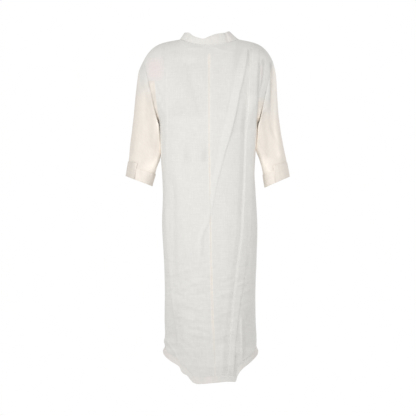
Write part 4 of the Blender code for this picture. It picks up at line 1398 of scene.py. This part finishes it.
class MIDIDRESS_OT_stitching(bpy.types.Operator):
    """Lays the topstitching along the seams of collar, cuffs, armholes and hem"""

    bl_idname = "midi_dress.stitching"
    bl_label = "Topstitching"

    def execute(self, context):
        if not stitch_lines:
            raise RuntimeError("the pieces come before their topstitching")
        size = context.scene.midi_dress_stitch
        bpy.ops.object.select_all(action="DESELECT")
        bpy.ops.mesh.primitive_uv_sphere_add(segments=6, ring_count=4, radius=0.5)
        stitch = context.object
        stitch.name = "topstitching"
        co = np.empty(len(stitch.data.vertices) * 3)
        stitch.data.vertices.foreach_get("co", co)
        shape = co.reshape(-1, 3)[:, [2, 0, 1]]
        shape *= (size.length, size.width, size.width * STITCH_FLATNESS)
        faces = [tuple(face.vertices) for face in stitch.data.polygons]
        points, many = [], []
        for line, ways in stitch_lines:
            for place, way, along in self.places(line, ways, size.pitch):
                side = np.cross(way, along)
                start = sum(len(p) for p in points)
                points.append(place + shape @ np.array([along, side, way]))
                many.extend(tuple(i + start for i in face) for face in faces)
        mesh = stitch.data
        mesh.clear_geometry()
        mesh.from_pydata(np.concatenate(points).tolist(), [], many)
        mesh.shade_smooth()
        mesh.materials.clear()
        mesh.materials.append(self.thread(context))
        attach(stitch, "root")
        return {"FINISHED"}

    def places(self, line, ways, pitch):
        steps = np.linalg.norm(np.diff(line, axis=0), axis=-1)
        run = np.concatenate([[0], np.cumsum(steps)])
        at = np.arange(pitch / 2, run[-1], pitch)
        place = np.stack([np.interp(at, run, line[:, i]) for i in range(3)], axis=-1)
        way = unit(np.stack([np.interp(at, run, ways[:, i]) for i in range(3)], axis=-1))
        along = unit(np.gradient(place, axis=0))
        along = unit(along - (along * way).sum(-1, keepdims=True) * way)
        return zip(place, way, along)

    def thread(self, context):
        made = new_material("thread", {"Roughness": 0.7})
        tree = made.node_tree
        place = add_node(tree, "ShaderNodeTexCoord", {})
        noise = add_node(tree, "ShaderNodeTexNoise", {"Vector": place.outputs["Object"], "Scale": 900.0})
        tone = maths(tree, "MULTIPLY_ADD", noise.outputs[0], 0.2, 0.9)
        tint = scaled(tree, context.scene.midi_dress_linen.thread, tone)
        fill(tree, tree.nodes["Principled BSDF"], {"Base Color": tint})
        return made


class MIDIDRESS_OT_stage(bpy.types.Operator):
    """Lays the pale floor and sets the soft light and the camera"""

    bl_idname = "midi_dress.stage"
    bl_label = "Stage"

    def execute(self, context):
        stage = context.scene.midi_dress_stage
        bpy.ops.object.select_all(action="DESELECT")
        bpy.ops.mesh.primitive_circle_add(
            vertices=96, radius=stage.floor_radius, fill_type="NGON", location=(0, 0, stage.floor_height))
        floor = context.object
        floor.name = "floor"
        pale = new_material("pale_floor", {"Base Color": (0.78, 0.78, 0.78, 1), "Roughness": 0.9})
        floor.data.materials.append(pale)
        self.surround(context, stage.surround)
        for light in LIGHTS:
            bpy.ops.object.light_add(type="AREA", location=light.place)
            lamp = context.object
            lamp.name = light.name
            lamp.data.size = light.size
            lamp.data.energy = stage.key * light.share
            lamp.rotation_euler = self.aim(lamp.location, light.aim)
        x, z = VIEW_CENTRE
        bpy.ops.object.camera_add(location=(x, -stage.camera_distance, z))
        camera = context.object
        camera.rotation_euler = (math.pi / 2, 0, 0)
        camera.data.sensor_width = SENSOR
        camera.data.lens = SENSOR * stage.camera_distance / (PHOTO_PIXELS * PIXEL)
        camera.data.clip_end = 100
        context.scene.camera = camera
        context.scene.view_settings.view_transform = "Standard"
        return {"FINISHED"}

    def aim(self, start, end):
        return (Vector(end) - Vector(start)).to_track_quat("-Z", "Y").to_euler()

    def surround(self, context, strength):
        """Even light from all round, behind which the background stays white."""
        world = bpy.data.worlds.new("surround")
        context.scene.world = world
        world.use_nodes = True
        tree = world.node_tree
        white = {"Color": (1, 1, 1, 1)}
        light = fill(tree, tree.nodes["Background"], {**white, "Strength": strength})
        seen = add_node(tree, "ShaderNodeBackground", white)
        path = add_node(tree, "ShaderNodeLightPath", {})
        inputs = {0: path.outputs["Is Camera Ray"], 1: light.outputs[0], 2: seen.outputs[0]}
        mix = add_node(tree, "ShaderNodeMixShader", inputs)
        fill(tree, tree.nodes["World Output"], {"Surface": mix.outputs[0]})


OPERATORS = (
    MIDIDRESS_OT_back,
    MIDIDRESS_OT_front,
    MIDIDRESS_OT_sleeves,
    MIDIDRESS_OT_collar,
    MIDIDRESS_OT_cuffs,
    MIDIDRESS_OT_hem,
    MIDIDRESS_OT_stitching,
    MIDIDRESS_OT_stage,
)
GROUPS = {
    "midi_dress_cloth": MidiDressCloth,
    "midi_dress_linen": MidiDressLinen,
    "midi_dress_stitch": MidiDressStitch,
    "midi_dress_stage": MidiDressStage,
}


class MIDIDRESS_PT_panel(bpy.types.Panel):
    """The dress's settings and the steps that make it"""

    bl_label = "Midi dress"
    bl_idname = "MIDIDRESS_PT_panel"
    bl_space_type = "VIEW_3D"
    bl_region_type = "UI"
    bl_category = "Midi dress"

    def draw(self, context):
        for name, group in GROUPS.items():
            settings = getattr(context.scene, name)
            for field in group.__annotations__:
                self.layout.prop(settings, field)
        for operator in OPERATORS:
            self.layout.operator(operator.bl_idname)


def register():
    for group in GROUPS.values():
        bpy.utils.register_class(group)
    for name, group in GROUPS.items():
        setattr(bpy.types.Scene, name, bpy.props.PointerProperty(type=group))
    for operator in OPERATORS:
        bpy.utils.register_class(operator)
    bpy.utils.register_class(MIDIDRESS_PT_panel)


def unregister():
    bpy.utils.unregister_class(MIDIDRESS_PT_panel)
    for operator in OPERATORS[::-1]:
        bpy.utils.unregister_class(operator)
    for name in GROUPS:
        delattr(bpy.types.Scene, name)
    for group in GROUPS.values():
        bpy.utils.unregister_class(group)


def plain(box):
    return [[float(value) for value in corner] for corner in box]


def main():
    register()
    bpy.ops.midi_dress.back()
    bpy.ops.midi_dress.front()
    bpy.ops.midi_dress.sleeves()
    bpy.ops.midi_dress.collar()
    bpy.ops.midi_dress.cuffs()
    bpy.ops.midi_dress.hem()
    bpy.ops.midi_dress.stitching()
    bpy.ops.midi_dress.stage()


if __name__ == "__main__":
    main()
